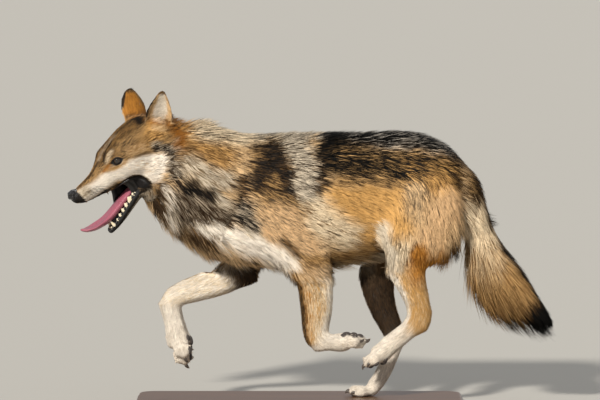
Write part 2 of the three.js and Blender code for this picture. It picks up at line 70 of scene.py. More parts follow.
def mix(a, b, t):
    t = np.asarray(t)
    if np.ndim(a) > np.ndim(t) or np.ndim(b) > np.ndim(t):
        t = t[..., None]
    return a * (1 - t) + b * t


NOISE = np.random.default_rng(5).uniform(-1, 1, 8192)
NOISE_PRIMES = (73856093, 19349663, 83492791)
SEED_SHIFT = 17.31  # how many cells apart the patterns of two seeds are


def noise(points, size, seed=0):
    """Smooth values from -1 to 1 that change over a distance of size."""
    cell = points / size + seed * SEED_SHIFT
    low = np.floor(cell).astype(np.int64)
    t = rise(cell - low, 0, 1)
    total = np.zeros(len(points))
    for corner in product((0, 1), repeat=3):
        key = np.bitwise_xor.reduce((low + corner) * NOISE_PRIMES, axis=1)
        weight = np.prod(np.where(corner, t, 1 - t), axis=1)
        total += NOISE[key % len(NOISE)] * weight
    return total


class Along:
    """Where points lie along a broken line: their distance from it, how far along it they are from 0 to
    1, the nearest place on it, and its direction there."""

    def __init__(self, points, line):
        line = np.asarray(line, float)
        self.distance = np.full(len(points), 1e9)
        self.place = np.zeros(len(points))
        self.foot = np.zeros(points.shape)
        self.direction = np.zeros(points.shape)
        lengths = np.linalg.norm(np.diff(line, axis=0), axis=1)
        done = 0.0
        for start, end, length in zip(line, line[1:], lengths):
            if length == 0:
                continue
            t = np.clip((points - start) @ (end - start) / length ** 2, 0, 1)
            foot = start + t[:, None] * (end - start)
            distance = np.linalg.norm(points - foot, axis=1)
            closer = distance < self.distance
            self.distance[closer] = distance[closer]
            self.place[closer] = (done + t[closer] * length) / lengths.sum()
            self.foot[closer] = foot[closer]
            self.direction[closer] = (end - start) / length
            done += length


def near_line(points, line, far, close):
    """1 closer to a line than one distance, 0 beyond the other, and smooth between."""
    return rise(Along(points, line).distance, far, close)


class Frame:
    """A set of axes with its origin: x forward, z up."""

    def __init__(self, origin, forward, up):
        x = unit(forward)
        y = unit(np.cross(up, x))
        self.axes = np.array([x, y, np.cross(x, y)])
        self.origin = np.asarray(origin, float)

    def to(self, points):
        return (np.asarray(points, float) - self.origin) @ self.axes.T

    def out(self, points):
        return np.asarray(points, float) @ self.axes + self.origin

    def turned(self, directions):
        return np.asarray(directions, float) @ self.axes

    def inside(self, origin, forward, up):
        """A frame whose place and directions are given in this one."""
        return Frame(self.out(origin), self.turned(forward), self.turned(up))


# ---- Places on the wolf, as in the solids ----

PITCH, YAW = np.radians(24), np.radians(27)
facing = (-np.cos(YAW) * np.cos(PITCH), -np.sin(YAW) * np.cos(PITCH), -np.sin(PITCH))
HEAD = Frame((-474.75, -58, 621.5), facing, (0, 0, 1))
GAPE = np.radians(34)
JAW = HEAD.inside((-85, 0, -52), (np.cos(GAPE), 0, -np.sin(GAPE)), (0, 0, 1))
EYE_RADIUS = 12
EYE_LENGTH, EYE_HEIGHT = 27, 13.4
EYES = {s: HEAD.inside((-8, -s * 37, 1.5), (0.62, -s * 0.77, 0.12), (0.02, 0, 1)) for s in (LEFT, RIGHT)}
EAR_PLACES = {
    "ear_left": ((-131, 53, 30), (-170, 86, 119), (0.35, 0.92, 0.1)),
    "ear_right": ((-131, -60, 30), (-163, -98, 121), (0.1, -0.95, 0.1)),
}
EARS = {}
for ear, (foot_at, tip_at, opening) in EAR_PLACES.items():
    EARS[ear] = HEAD.inside(foot_at, np.subtract(tip_at, foot_at), opening)
EAR_LENGTH = 102
EAR_RIM = {"ear_left": 0.76, "ear_right": 1.1}  # where the dark rim begins, for the ear's half width
EAR_FRONT = {"ear_left": 1, "ear_right": -1}  # the side of each ear's own y that its front edge is on

# Down the middle of each leg, as (x, distance from the body's middle, z).
LEG_LINES = {
    "fore_left": [
        (-100, 60, 560), (-5, 76, 400), (34, 72, 340), (40, 66, 240), (42, 63, 172), (160, 63, 174),
    ],
    "fore_right": [
        (-120, 60, 560), (-134, 72, 400), (-150, 64, 340), (-250, 57, 297), (-324, 53, 262), (-290, 53, 115),
    ],
    "hind_left": [
        (350, 56, 590), (300, 72, 450), (256, 70, 365), (293, 63, 266), (290, 58, 215), (165, 58, 116),
    ],
    "hind_right": [
        (340, 56, 590), (252, 72, 450), (188, 70, 365), (208, 59, 240), (238, 52, 172), (200, 44, 66),
        (120, 43, 38),
    ],
}
LEG_SIDE = {leg: LEFT if leg.endswith("left") else RIGHT for leg in LEGS}
# Place of the wrist or hock with y from the body's middle, where the toes and the upper side point,
# length of the foot, and scale.
FEET = {
    "fore_left": ((44, 63, 169), (1, 0, 0.02), (0, 0, -1), 118, 1.12),
    "fore_right": ((-328, 53, 258), (0.24, 0, -0.97), (-0.97, 0, -0.24), 150, 1.28),
    "hind_left": ((288, 58, 216), (-0.78, 0, -0.62), (-0.62, 0, 0.78), 166, 1.02),
    "hind_right": ((162, 43, 39.3), (-1, 0.03, 0), (0, 0, 1), 40, 1.02),
}
TOES = [(21, 9, -2, 22), (9, 22, -4, 20)]  # forward, sideways, up and half length, on each side
TOE_REACH = 40  # from the paw's middle to the tips of its toes
SOLE = 24.4  # height of the planted paw's sole
PAW_THICKNESS = {"fore_left": 1.4, "fore_right": 1.45, "hind_left": 1.35, "hind_right": 1.05}


def leg_line(leg):
    return np.multiply(LEG_LINES[leg], (1, LEG_SIDE[leg], 1))


def paw_frame(leg):
    """A paw's own axes: x towards the toes' tips and z to its upper side, from its middle."""
    (x, out, z), toes, back, length, _ = FEET[leg]
    foot = Frame((x, LEG_SIDE[leg] * out, z), toes, back)
    return foot.inside((length - TOE_REACH, 0, 0), (1, 0, 0), (0, 0, 1))


TAIL_LINE = [(412, 0, 578), (443, 2, 478), (456, 4, 428), (480, 6, 380), (542, 9, 290), (636, 10, 206)]


# ---- Colours ----

COLOURS = {
    "black": (8, 7, 6), "charcoal": (27, 22, 18), "dark": (56, 41, 27), "brown": (114, 83, 48),
    "greybrown": (132, 112, 86), "umber": (146, 110, 64), "tan": (178, 140, 90), "gold": (206, 158, 94),
    "buff": (220, 184, 138), "peach": (214, 175, 130), "cream": (234, 212, 178), "white": (246, 234, 218),
    "grey": (176, 160, 138), "silver": (208, 193, 170), "rufous": (138, 86, 30), "orange": (184, 124, 50),
    "liver": (58, 32, 28), "gum": (118, 50, 50), "lip": (17, 15, 15),
}


def linear(colour):
    """An sRGB colour of 0 to 255 as linear light of 0 to 1."""
    c = np.asarray(colour, float) / 255
    return np.where(c <= 0.04045, c / 12.92, ((c + 0.055) / 1.055) ** 2.4)


PALETTE = {name: linear(value) for name, value in COLOURS.items()}


# ---- Meshes ----

def new_object(name, points, faces):
    """An object from points in millimetres and faces that all have the same number of corners."""
    faces = np.asarray(faces, np.int32)
    mesh = bpy.data.meshes.new(name)
    mesh.vertices.add(len(points))
    mesh.vertices.foreach_set("co", (np.asarray(points) * MM).astype(np.float32).ravel())
    mesh.loops.add(faces.size)
    mesh.loops.foreach_set("vertex_index", faces.ravel())
    mesh.polygons.add(len(faces))
    mesh.polygons.foreach_set("loop_start", np.arange(0, faces.size, faces.shape[1], dtype=np.int32))
    mesh.update(calc_edges=True)
    mesh.polygons.foreach_set("use_smooth", np.ones(len(faces), bool))
    made = bpy.data.objects.new(name, mesh)
    bpy.context.scene.collection.objects.link(made)
    return made


def points_of(mesh):
    flat = np.empty(len(mesh.vertices) * 3, np.float32)
    mesh.vertices.foreach_get("co", flat)
    return flat.reshape(-1, 3).astype(float) / MM


def triangles_of(mesh):
    mesh.calc_loop_triangles()
    flat = np.empty(len(mesh.loop_triangles) * 3, np.int32)
    mesh.loop_triangles.foreach_get("vertices", flat)
    return flat.reshape(-1, 3)


def soup(names):
    """The triangles of some CAD nodes together, and which node each is from."""
    points, faces, owner = [], [], []
    count = 0
    for i, name in enumerate(names):
        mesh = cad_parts[name].data
        points.append(points_of(mesh))
        faces.append(triangles_of(mesh) + count)
        owner.append(np.full(len(faces[-1]), i))
        count += len(points[-1])
    return np.concatenate(points), np.concatenate(faces), np.concatenate(owner)


def evaluated(made):
    """An object's points and triangles with its modifiers applied; the object is deleted."""
    ready = made.evaluated_get(bpy.context.evaluated_depsgraph_get())
    mesh = bpy.data.meshes.new_from_object(ready)
    result = points_of(mesh), triangles_of(mesh)
    bpy.data.meshes.remove(mesh)
    bpy.data.objects.remove(made)
    return result


def remeshed(points, faces, voxel):
    made = new_object("scratch", points, faces)
    modifier = made.modifiers.new("remesh", "REMESH")
    modifier.mode = "VOXEL"
    modifier.voxel_size = voxel * MM
    return largest_body(*evaluated(made))


def largest_body(points, faces):
    """Only the body with the most points, without the closed bubbles inside it."""
    label = np.arange(len(points))
    while True:
        lowest = label[faces].min(axis=1)
        new = label.copy()
        for k in range(3):
            np.minimum.at(new, faces[:, k], lowest)
        new = new[new]
        if (new == label).all():
            break
        label = new
    keep = label == np.bincount(label).argmax()
    index = np.cumsum(keep) - 1
    return points[keep], index[faces[keep[faces[:, 0]]]]


def shell(points, faces):
    """A tree of triangles, to look up the nearest place or cast a ray."""
    return BVHTree.FromPolygons(points.tolist(), faces.tolist())


class Surface:
    """A triangle mesh with the arithmetic that smooths its points or any value on them."""

    def __init__(self, points, faces):
        self.points = points
        self.faces = faces
        pairs = np.concatenate([faces[:, [0, 1]], faces[:, [1, 2]], faces[:, [2, 0]]])
        pairs = np.unique(np.sort(pairs, axis=1), axis=0)
        self.a = np.concatenate([pairs[:, 0], pairs[:, 1]])
        self.b = np.concatenate([pairs[:, 1], pairs[:, 0]])
        self.degree = np.bincount(self.a, minlength=len(points)).astype(float)

    def around(self, values):
        columns = values.reshape(len(values), -1)
        sums = [np.bincount(self.a, c[self.b], minlength=len(values)) for c in columns.T]
        return (np.array(sums).T / self.degree[:, None]).reshape(values.shape)

    def smooth(self, values, times, factor=0.5):
        factor = np.asarray(factor, float)
        if factor.ndim and values.ndim > 1:
            factor = factor[:, None]
        for _ in range(times):
            values = values + factor * (self.around(values) - values)
        return values

    def normals(self):
        a, b, c = (self.points[self.faces[:, k]] for k in range(3))
        face = np.cross(b - a, c - a)
        total = np.zeros_like(self.points)
        for k in range(3):
            for axis in range(3):
                total[:, axis] += np.bincount(self.faces[:, k], face[:, axis], minlength=len(total))
        return unit(total)


# ---- The skin's outer surface: the solids made one, smoothed ----

VOXEL = 2.4
SKIN_SHARE = 0.3  # how much of the fine mesh is kept, nearly all of it on the head
HEAD_END = -150  # in the head's frame, where the mesh starts to be thinned
# How far each round of smoothing moves a point, and how many rounds there are.
SOFT, SOFT_ON_FACE, SOFT_WHERE_THIN = 0.5, 0.34, 0.09
ROUNDS, ROUNDS_AT_PARTINGS = 26, 30
KEPT_ROUND_GAPE = 26  # how far from the gape's outline the head is smoothed less
OUT_LIMITS = (-2, 14)  # how far the smoothed surface is moved to meet the solids, at one time


def broader_ears(points, owner_of_point, names):
    """The copied ears with broader tips, since smoothing narrows them: the far one is nearly oval."""
    for ear, most in (("ear_left", 1.12), ("ear_right", 1.75)):
        mine = owner_of_point == names.index(ear)
        local = EARS[ear].to(points[mine])
        local[:, 1] *= mix(1.0, most, rise(local[:, 0], 0.25 * EAR_LENGTH, EAR_LENGTH))
        points[mine] = EARS[ear].out(local)
    return points


def thicker_paws(points, owner_of_point, names):
    """The copied feet with deeper toes, from the sole up to the fur on top."""
    for leg, nodes in LEGS.items():
        place = paw_frame(leg)
        mine = owner_of_point == names.index(nodes[2])
        local = place.to(points[mine])
        sole = -15 * FEET[leg][4]
        start = sole if leg == "hind_right" else 0.35 * sole
        grown = start + (local[:, 2] - start) * PAW_THICKNESS[leg]
        local[:, 2] = mix(local[:, 2], grown, rise(local[:, 0], -60, -5))
        points[mine] = place.out(local)
    return points


def outer_surface():
    names = FLESH + ["nose", "eye_left", "eye_right"]
    points, faces, owner = soup(names)
    owner_of_point = np.zeros(len(points), int)
    owner_of_point[faces.ravel()] = np.repeat(owner, 3)
    points = broader_ears(points, owner_of_point, names)
    points = thicker_paws(points, owner_of_point, names)
    points, faces = remeshed(points, faces, VOXEL)
    made = new_object("scratch", points, faces)
    behind_head = np.nonzero(HEAD.to(points)[:, 0] < HEAD_END)[0]
    made.vertex_groups.new(name="coarse").add(behind_head.tolist(), 1.0, "REPLACE")
    modifier = made.modifiers.new("thin", "DECIMATE")
    modifier.ratio = SKIN_SHARE
    modifier.vertex_group = "coarse"
    return Surface(*evaluated(made))


outer = outer_surface()

# Which solid each point of it is nearest to.
cad_points, cad_faces, cad_owner = soup(FLESH)
cad_shell = shell(cad_points, cad_faces)
part = cad_owner[[cad_shell.find_nearest(Vector(p))[2] for p in outer.points]]
PART = {name: i for i, name in enumerate(FLESH)}


def on(*names):
    return np.isin(part, [PART[name] for name in names])


in_head = HEAD.to(outer.points)

# The gape seen from the side, in the head's frame, as in the solids.
GAPE_CURVES = [
    ((30, -69), (8, -60), (-16, -56)),
    ((-16, -56), (-42, -60), (-42, -80)),
    ((-42, -80), (-38, -92), (-24, -92)),
]


def gape_outline():
    points = [(200, -66)]
    for start, bend, end in np.asarray(GAPE_CURVES, float):
        for t in np.linspace(0, 1, 6):
            points.append((1 - t) ** 2 * start + 2 * t * (1 - t) * bend + t * t * end)
    return np.array([*points, (200, -245)])


def gape_distance(head_points):
    """Distance to the gape's outline as seen from the side, negative inside it."""
    points = head_points[:, [0, 2]]
    outline = gape_outline()
    closed = np.vstack([outline, outline[:1]])
    distance = Along(points, closed).distance
    inside = np.zeros(len(points), bool)
    x, z = points.T
    for (x0, z0), (x1, z1) in zip(closed, closed[1:]):
        if z0 != z1:
            inside ^= ((z0 > z) != (z1 > z)) & (x < (x1 - x0) * (z - z0) / (z1 - z0) + x0)
    return np.where(inside, -distance, distance)


def in_mouth(head_points):
    """1 on the mouth's inner surfaces and 0 on the outside of the head."""
    gape = gape_distance(head_points)
    forward, left, up = head_points.T
    reach = rise(forward, -75, -62) * rise(forward, 150, 140)
    hollow = (np.abs(left) < 21) & (forward < 118) & (up > -116) & (up < -49) & (gape < 12)
    return np.maximum(rise(gape, 3.0, 1.2) * reach, hollow * reach)


at_mouth = on("head", "lower_jaw") & (gape_distance(in_head) < KEPT_ROUND_GAPE)
slender = on("ear_left", "ear_right", "lower_jaw") | on(*[nodes[2] for nodes in LEGS.values()])
on_face = on("head") & (in_head[:, 0] > -60)
softness = np.where(on_face, SOFT_ON_FACE, SOFT)
softness = np.where(slender | at_mouth, SOFT_WHERE_THIN, softness)
outer.points = outer.smooth(outer.points, ROUNDS, outer.smooth(softness, 3))

# Each point's share of each solid, soft across the partings, and more smoothing over those of the legs.
shares_of = (part[:, None] == np.arange(len(FLESH))[None]).astype(float)
on_legs = on("trunk", *[node for nodes in LEGS.values() for node in nodes[:2]])
parting = (outer.around(shares_of).max(1) < 0.999) & on_legs
by_parting = np.clip(outer.smooth(parting * 1.0, 8) * 5, 0, 1)
outer.points = outer.smooth(outer.points, ROUNDS_AT_PARTINGS, SOFT * by_parting)
shares_of = outer.smooth(shares_of, 10)


def move_out_to_solids():
    """The surface is moved evenly out to the solids again, since smoothing draws it in."""
    keeps = 1 - np.clip(outer.smooth((at_mouth | on("ear_left", "ear_right")) * 1.0, 6) * 3, 0, 1)
    for _ in range(2):
        normals = outer.normals()
        goal = np.array([cad_shell.find_nearest(Vector(p))[0] for p in outer.points])
        gap = np.clip(((goal - outer.points) * normals).sum(1), *OUT_LIMITS)
        gap = outer.smooth(gap, 24) * keeps
        outer.points = outer.points + normals * gap[:, None]


move_out_to_solids()
in_head = HEAD.to(outer.points)


# ---- The eyes' openings ----

LID = 13.2  # the lids' edge, from the eye's middle
SOCKET_REACH = 27  # how far from the eye's axis the socket is let in
SOCKET_LIMIT = 45  # how far from the eye's middle a point may be and still move
SOCKET_EDGE = 11  # how far outside the opening the skin is back in its own place
BEHIND_BALL = 2.2  # how far behind the ball's surface the opening lies


def lens_gap(eye_points):
    """How far outside the pointed oval between the lids a point is, negative inside it."""
    _, y, z = eye_points.T
    share = np.clip(np.abs(y) / (EYE_LENGTH / 2), 0, 1.6)
    beyond_end = np.maximum(np.abs(y) - EYE_LENGTH / 2, 0)
    gap = np.abs(z) - EYE_HEIGHT / 2 * np.maximum(1 - share ** 2, 0)
    return np.where(beyond_end > 0, np.hypot(gap, beyond_end), gap)


def opened_eyes(points):
    """Points with the sockets let in: the oval drops behind the ball and the lids lie on the ball."""
    points = points.copy()
    for eye in EYES.values():
        local = eye.to(points)
        radius = np.linalg.norm(local, axis=1)
        near = (local[:, 0] > 1) & (np.hypot(local[:, 1], local[:, 2]) < SOCKET_REACH)
        near &= radius < SOCKET_LIMIT
        gap = lens_gap(local)
        lid = LID + 0.25 * np.maximum(gap, 0)
        wanted = mix(lid, radius, rise(gap, 1.0, SOCKET_EDGE))
        wanted = np.where(gap < 0.5, EYE_RADIUS - BEHIND_BALL, wanted)
        moved = local * (wanted / np.maximum(radius, 1e-6))[:, None]
        points[near] = eye.out(moved[near])
    return points


# ---- How deep, long, wide and close the coat is, and which way it lies ----

COAT = {  # depth, length, width and spacing of the tufts
    "head": (3.2, 10, 0.95, 1.75),
    "lower_jaw": (1.8, 7, 0.9, 1.75),
    "ear": (1.2, 7, 0.85, 1.55),
    "neck": (28, 62, 1.9, 2.7),
    "trunk": (18, 52, 1.8, 2.65),
    "tail": (26, 78, 1.9, 2.4),
    "upper_arm": (12, 36, 1.6, 2.5),
    "thigh": (14, 40, 1.7, 2.5),
    "forearm": (3.0, 14, 1.15, 2.1),
    "shank": (4.0, 16, 1.15, 2.1),
    "forepaw": (2.2, 8, 1.0, 1.8),
    "hindpaw": (2.2, 8, 1.0, 1.8),
}
# On the head, as (line, reach, depth, length) in its frame, with the distance from its middle as y.
HEAD_COAT = [
    ([(30, 0, 0), (110, 0, -30)], 48, 1.5, 6),
    ([(-30, 0, 56), (-70, 0, 66)], 44, 4, 12),
    ([(-55, 68, -30), (-70, 72, -10)], 24, 5, 15),
    ([(-100, 84, -40), (-95, 84, -80)], 30, 12, 28),
    ([(-135, 60, 0), (-150, 30, 40)], 45, 16, 34),
    ([(-170, 60, -20), (-170, 0, 30)], 50, 24, 46),
]


def folded(head_points):
    """The head's points with their distance from its middle as y, so that both sides match."""
    return head_points * (1, 0, 1) + np.abs(head_points) * (0, 1, 0)


LEG_COAT = [  # place down the leg, depth, length
    (0.10, 13, 38), (0.28, 11, 34), (0.40, 6.5, 25), (0.50, 4.2, 18), (0.62, 3.2, 14), (0.80, 2.8, 11),
    (1.00, 2.2, 8),
]
TAIL_TIP_COAT = (9, 27)  # depth and length
EAR_BASE_COAT = (1.8, 11)
tail_along = Along(outer.points, TAIL_LINE)


def coat_sizes():
    """The coat's depth, length, width and spacing at each point."""
    sizes = np.zeros((len(outer.points), 4))
    for node in FLESH:
        sizes[on(node)] = COAT[node.removesuffix("_left").removesuffix("_right")]
    for line, reach, *goal in HEAD_COAT:
        near = on("head") * near_line(folded(in_head), line, reach * 1.35, reach * 0.75)
        sizes[:, :2] = mix(sizes[:, :2], goal, near)
    to_tip = mix(TAIL_TIP_COAT, sizes[:, :2], rise(tail_along.place, 1.0, 0.7))
    sizes[on("tail"), :2] = to_tip[on("tail")]
    places, *columns = np.transpose(LEG_COAT)
    for leg, nodes in LEGS.items():
        place = Along(outer.points, leg_line(leg)).place[on(*nodes)]
        for k, column in enumerate(columns):
            sizes[on(*nodes), k] = np.interp(place, places, column)
    for ear in EARS.values():
        x, y, z = ear.to(outer.points).T
        by_ear = rise(x, -22, 2) * (np.hypot(y / 50, (z + 12) / 38) < 1)
        sizes[:, :2] = mix(sizes[:, :2], EAR_BASE_COAT, by_ear)
    return outer.smooth(sizes, 14)


coat = coat_sizes()
bare = in_mouth(in_head)
coat[:, 0] = mix(coat[:, 0], 0.3, bare)

# Where tufts stand out from the rest, as (line in x and z, reach, how far).
FRINGES = [
    ([(-322, 724), (-262, 708)], 26, 24),
    ([(-240, 704), (-60, 694), (60, 700)], 22, 9),
    ([(60, 700), (280, 700), (380, 662)], 20, 6),
    ([(-356, 540), (-335, 475), (-280, 438), (-215, 420)], 32, 20),
    ([(-190, 412), (-100, 384), (-20, 350)], 26, 18),
    ([(-20, 350), (120, 356), (190, 366)], 26, 18),
    ([(190, 366), (232, 384)], 24, 14),
    ([(404, 484), (412, 440), (398, 396), (366, 362)], 36, 36),
    ([(430, 640), (446, 560)], 22, 8),
]
UPPER_LEGS = [nodes[0] for nodes in LEGS.values()]


def in_front(direction):
    """The direction square to this one in the X-Z plane, on the front of a leg that points down."""
    return unit(direction[:, [2, 1, 0]] * (1, 0, -1))


def lie_of_coat(normals):
    """Which way the hair lies at each point, along the surface."""
    lie = np.tile((1.0, 0, -0.1), (len(normals), 1))
    flank = np.abs(normals[:, 1])
    breast = np.maximum(-normals[:, 0], 0) * rise(outer.points[:, 0], -60, -120)
    lie[on("neck")] = (0.88, 0, -0.38)
    lie[:, 2] -= 0.32 * flank + 1.5 * breast
    lie[on("neck"), 2] -= 0.5 * rise(-normals[on("neck"), 2], 0.0, 0.8)
    lie[on("head")] = HEAD.turned((-1, 0, -0.06))
    cheek = on("head") & (in_head[:, 2] < -5) & (in_head[:, 0] < 0)
    lie[cheek] = HEAD.turned((-1, 0, -0.3))
    lie[on("lower_jaw")] = JAW.turned((-1, 0, -0.1))
    lie[on("tail")] = tail_along.direction[on("tail")] + (0, 0, -0.26)
    for ear, place in EARS.items():
        lie[on(ear)] = place.turned((1, 0, 0))
    for leg, nodes in LEGS.items():
        lie[on(*nodes)] = Along(outer.points[on(*nodes)], leg_line(leg)).direction
    lie[on(*UPPER_LEGS)] += (0.55, 0, 0.15)
    lie = unit(outer.smooth(unit(lie), 14))
    for ear, place in EARS.items():
        local = place.to(outer.points)
        inside = on(ear) * rise(normals @ place.axes[2], 0.1, 0.4)
        front = EAR_FRONT[ear] * np.sign(local[:, 1] * EAR_FRONT[ear] + 8)
        inward = place.turned(np.stack([np.ones_like(front), -front, np.zeros_like(front)], axis=1))
        lie = unit(mix(lie, unit(inward), inside))
    return unit(lie - normals * (lie * normals).sum(1)[:, None])


def standing_out(normals):
    """How far tufts stand out at each point, in the fringes and under the tail."""
    stand = np.zeros(len(outer.points))
    for line, reach, amount in FRINGES:
        near = near_line(outer.points[:, [0, 2]], line, reach * 1.4, reach * 0.4)
        stand = np.maximum(stand, amount * near)
    stand *= on("trunk", "neck", "head", *UPPER_LEGS)
    place = tail_along.place
    under_tail = (normals * in_front(tail_along.direction)).sum(1)
    wisps = rise(under_tail, -0.2, 0.7) * rise(place, 0.0, 0.3) * rise(place, 1.1, 0.75)
    stand = np.where(on("tail"), 5 + 32 * wisps, stand)
    return outer.smooth(stand, 8)


outer_normals = unit(outer.smooth(outer.normals(), 3))
lie = lie_of_coat(outer_normals)
stand = standing_out(outer_normals)


# ---- The skin: the outer surface sunk by the coat's depth ----

INSET_STEPS = 10


def sunk():
    skin = Surface(outer.points.copy(), outer.faces)
    depth = coat[:, 0]
    settle = 0.45 * np.clip(depth / 12, 0, 1)
    for _ in range(INSET_STEPS):
        skin.points = skin.points - skin.normals() * (depth / INSET_STEPS)[:, None]
        skin.points = skin.smooth(skin.points, 2, settle)
    skin.points = opened_eyes(skin.points)
    return skin


skin = sunk()
outer.points = np.where((bare > 0.5)[:, None], outer.points, opened_eyes(outer.points))


# ---- Markings and painted shade: soft patches laid over each other, each with light hairs, dark hairs and their share ----

# On the neck and body, seen from the side as (x, z).
BODY_MARKS_AND_SHADE = [  # line, reach, softness, light, dark, share of dark
    ([(-40, 360), (250, 388)], 28, 30, "cream", "greybrown", 0.42),
    ([(90, 396), (170, 396)], 20, 20, "gold", "brown", 0.40),
    ([(110, 505), (240, 500)], 62, 26, "gold", "brown", 0.10),
    ([(-10, 600), (20, 540), (40, 480), (130, 425), (170, 420)], 34, 26, "cream", "brown", 0.24),
    ([(-300, 700), (-286, 664), (-200, 640)], 34, 28, "gold", "brown", 0.50),
    ([(-300, 640), (-250, 622)], 18, 18, "tan", "brown", 0.55),
    ([(-312, 704), (-300, 668)], 20, 14, "rufous", "brown", 0.15),
    ([(-322, 652), (-312, 620), (-300, 600)], 15, 12, "silver", "dark", 0.66),
    ([(-240, 700), (-150, 684), (-40, 680)], 22, 18, "cream", "charcoal", 0.36),
    ([(-262, 606), (-236, 592), (-196, 580)], 24, 16, "silver", "greybrown", 0.46),
    ([(-310, 510), (-265, 505), (-200, 482)], 40, 24, "grey", "dark", 0.72),
    ([(-205, 540), (-190, 520)], 14, 12, "silver", "greybrown", 0.25),
    ([(-276, 556), (-240, 548), (-216, 544)], 15, 11, "dark", "black", 0.97),
    ([(-336, 560), (-326, 520), (-316, 465)], 9, 10, "white", "greybrown", 0.22),
    # Painted shade down the front of the throat, under the jaw.
    ([(-362, 564), (-352, 530), (-342, 492)], 18, 8, "brown", "dark", 0.94),
    ([(-262, 452), (-190, 450)], 11, 9, "white", "greybrown", 0.22),
    # Painted shade on the far upper arm, under the chest.
    ([(-290, 444), (-235, 424), (-180, 408)], 11, 12, "brown", "dark", 0.75),
    ([(-78, 622), (-50, 545), (-40, 500)], 42, 24, "tan", "dark", 0.56),
    ([(-50, 462), (0, 400), (30, 330)], 52, 24, "peach", "greybrown", 0.30),
    ([(-66, 646), (-84, 610), (-104, 566)], 18, 16, "brown", "charcoal", 0.88),
    ([(-62, 640), (-36, 590), (-20, 560)], 15, 16, "brown", "charcoal", 0.80),
    ([(-146, 570), (-138, 510)], 12, 14, "brown", "charcoal", 0.66),
    ([(-138, 500), (-122, 446)], 22, 16, "grey", "charcoal", 0.66),
    ([(-14, 664), (14, 612), (22, 556)], 29, 12, "silver", "dark", 0.38),
    ([(-110, 692), (54, 692)], 13, 10, "silver", "charcoal", 0.45),
    ([(-176, 428), (-100, 410), (-24, 362)], 25, 12, "white", "cream", 0.10),
    ([(-42, 424), (2, 384)], 8, 12, "brown", "charcoal", 0.50),
    ([(92, 692), (120, 694), (280, 696), (374, 668), (424, 610)], 32, 20, "white", "black", 0.95),
    ([(90, 682), (76, 642), (104, 624)], 27, 13, "black", "black", 1.0),
    ([(58, 620), (58, 560)], 10, 12, "brown", "black", 0.85),
    ([(110, 628), (180, 616), (262, 610)], 34, 20, "tan", "black", 0.78),
    ([(96, 578), (180, 574), (262, 566)], 9, 10, "tan", "dark", 0.45),
    ([(266, 570), (270, 520)], 7, 10, "umber", "dark", 0.62),
    ([(300, 606), (378, 584)], 42, 24, "gold", "charcoal", 0.68),
    ([(340, 560), (400, 540)], 24, 24, "gold", "brown", 0.55),
    ([(400, 648), (434, 600), (448, 548)], 24, 12, "umber", "black", 0.86),
    ([(402, 560), (412, 520)], 15, 12, "umber", "charcoal", 0.72),
    ([(286, 540), (296, 480)], 20, 24, "buff", "greybrown", 0.50),
    ([(372, 500), (340, 430)], 46, 24, "peach", "brown", 0.06),
    ([(180, 452), (168, 408)], 20, 16, "gold", "umber", 0.25),
    ([(20, 370), (110, 386), (158, 396)], 13, 16, "tan", "brown", 0.50),
    ([(208, 456), (212, 424), (234, 366), (258, 316)], 14, 11, "silver", "grey", 0.20),
    ([(184, 420), (196, 392)], 5, 7, "brown", "dark", 0.55),
    ([(388, 440), (386, 400)], 18, 16, "buff", "brown", 0.18),
    # Painted shade between the thigh and the tail.
    ([(388, 392), (392, 368)], 11, 12, "brown", "charcoal", 0.62),
    ([(294, 394), (288, 345), (292, 310)], 15, 16, "orange", "rufous", 0.60),
]
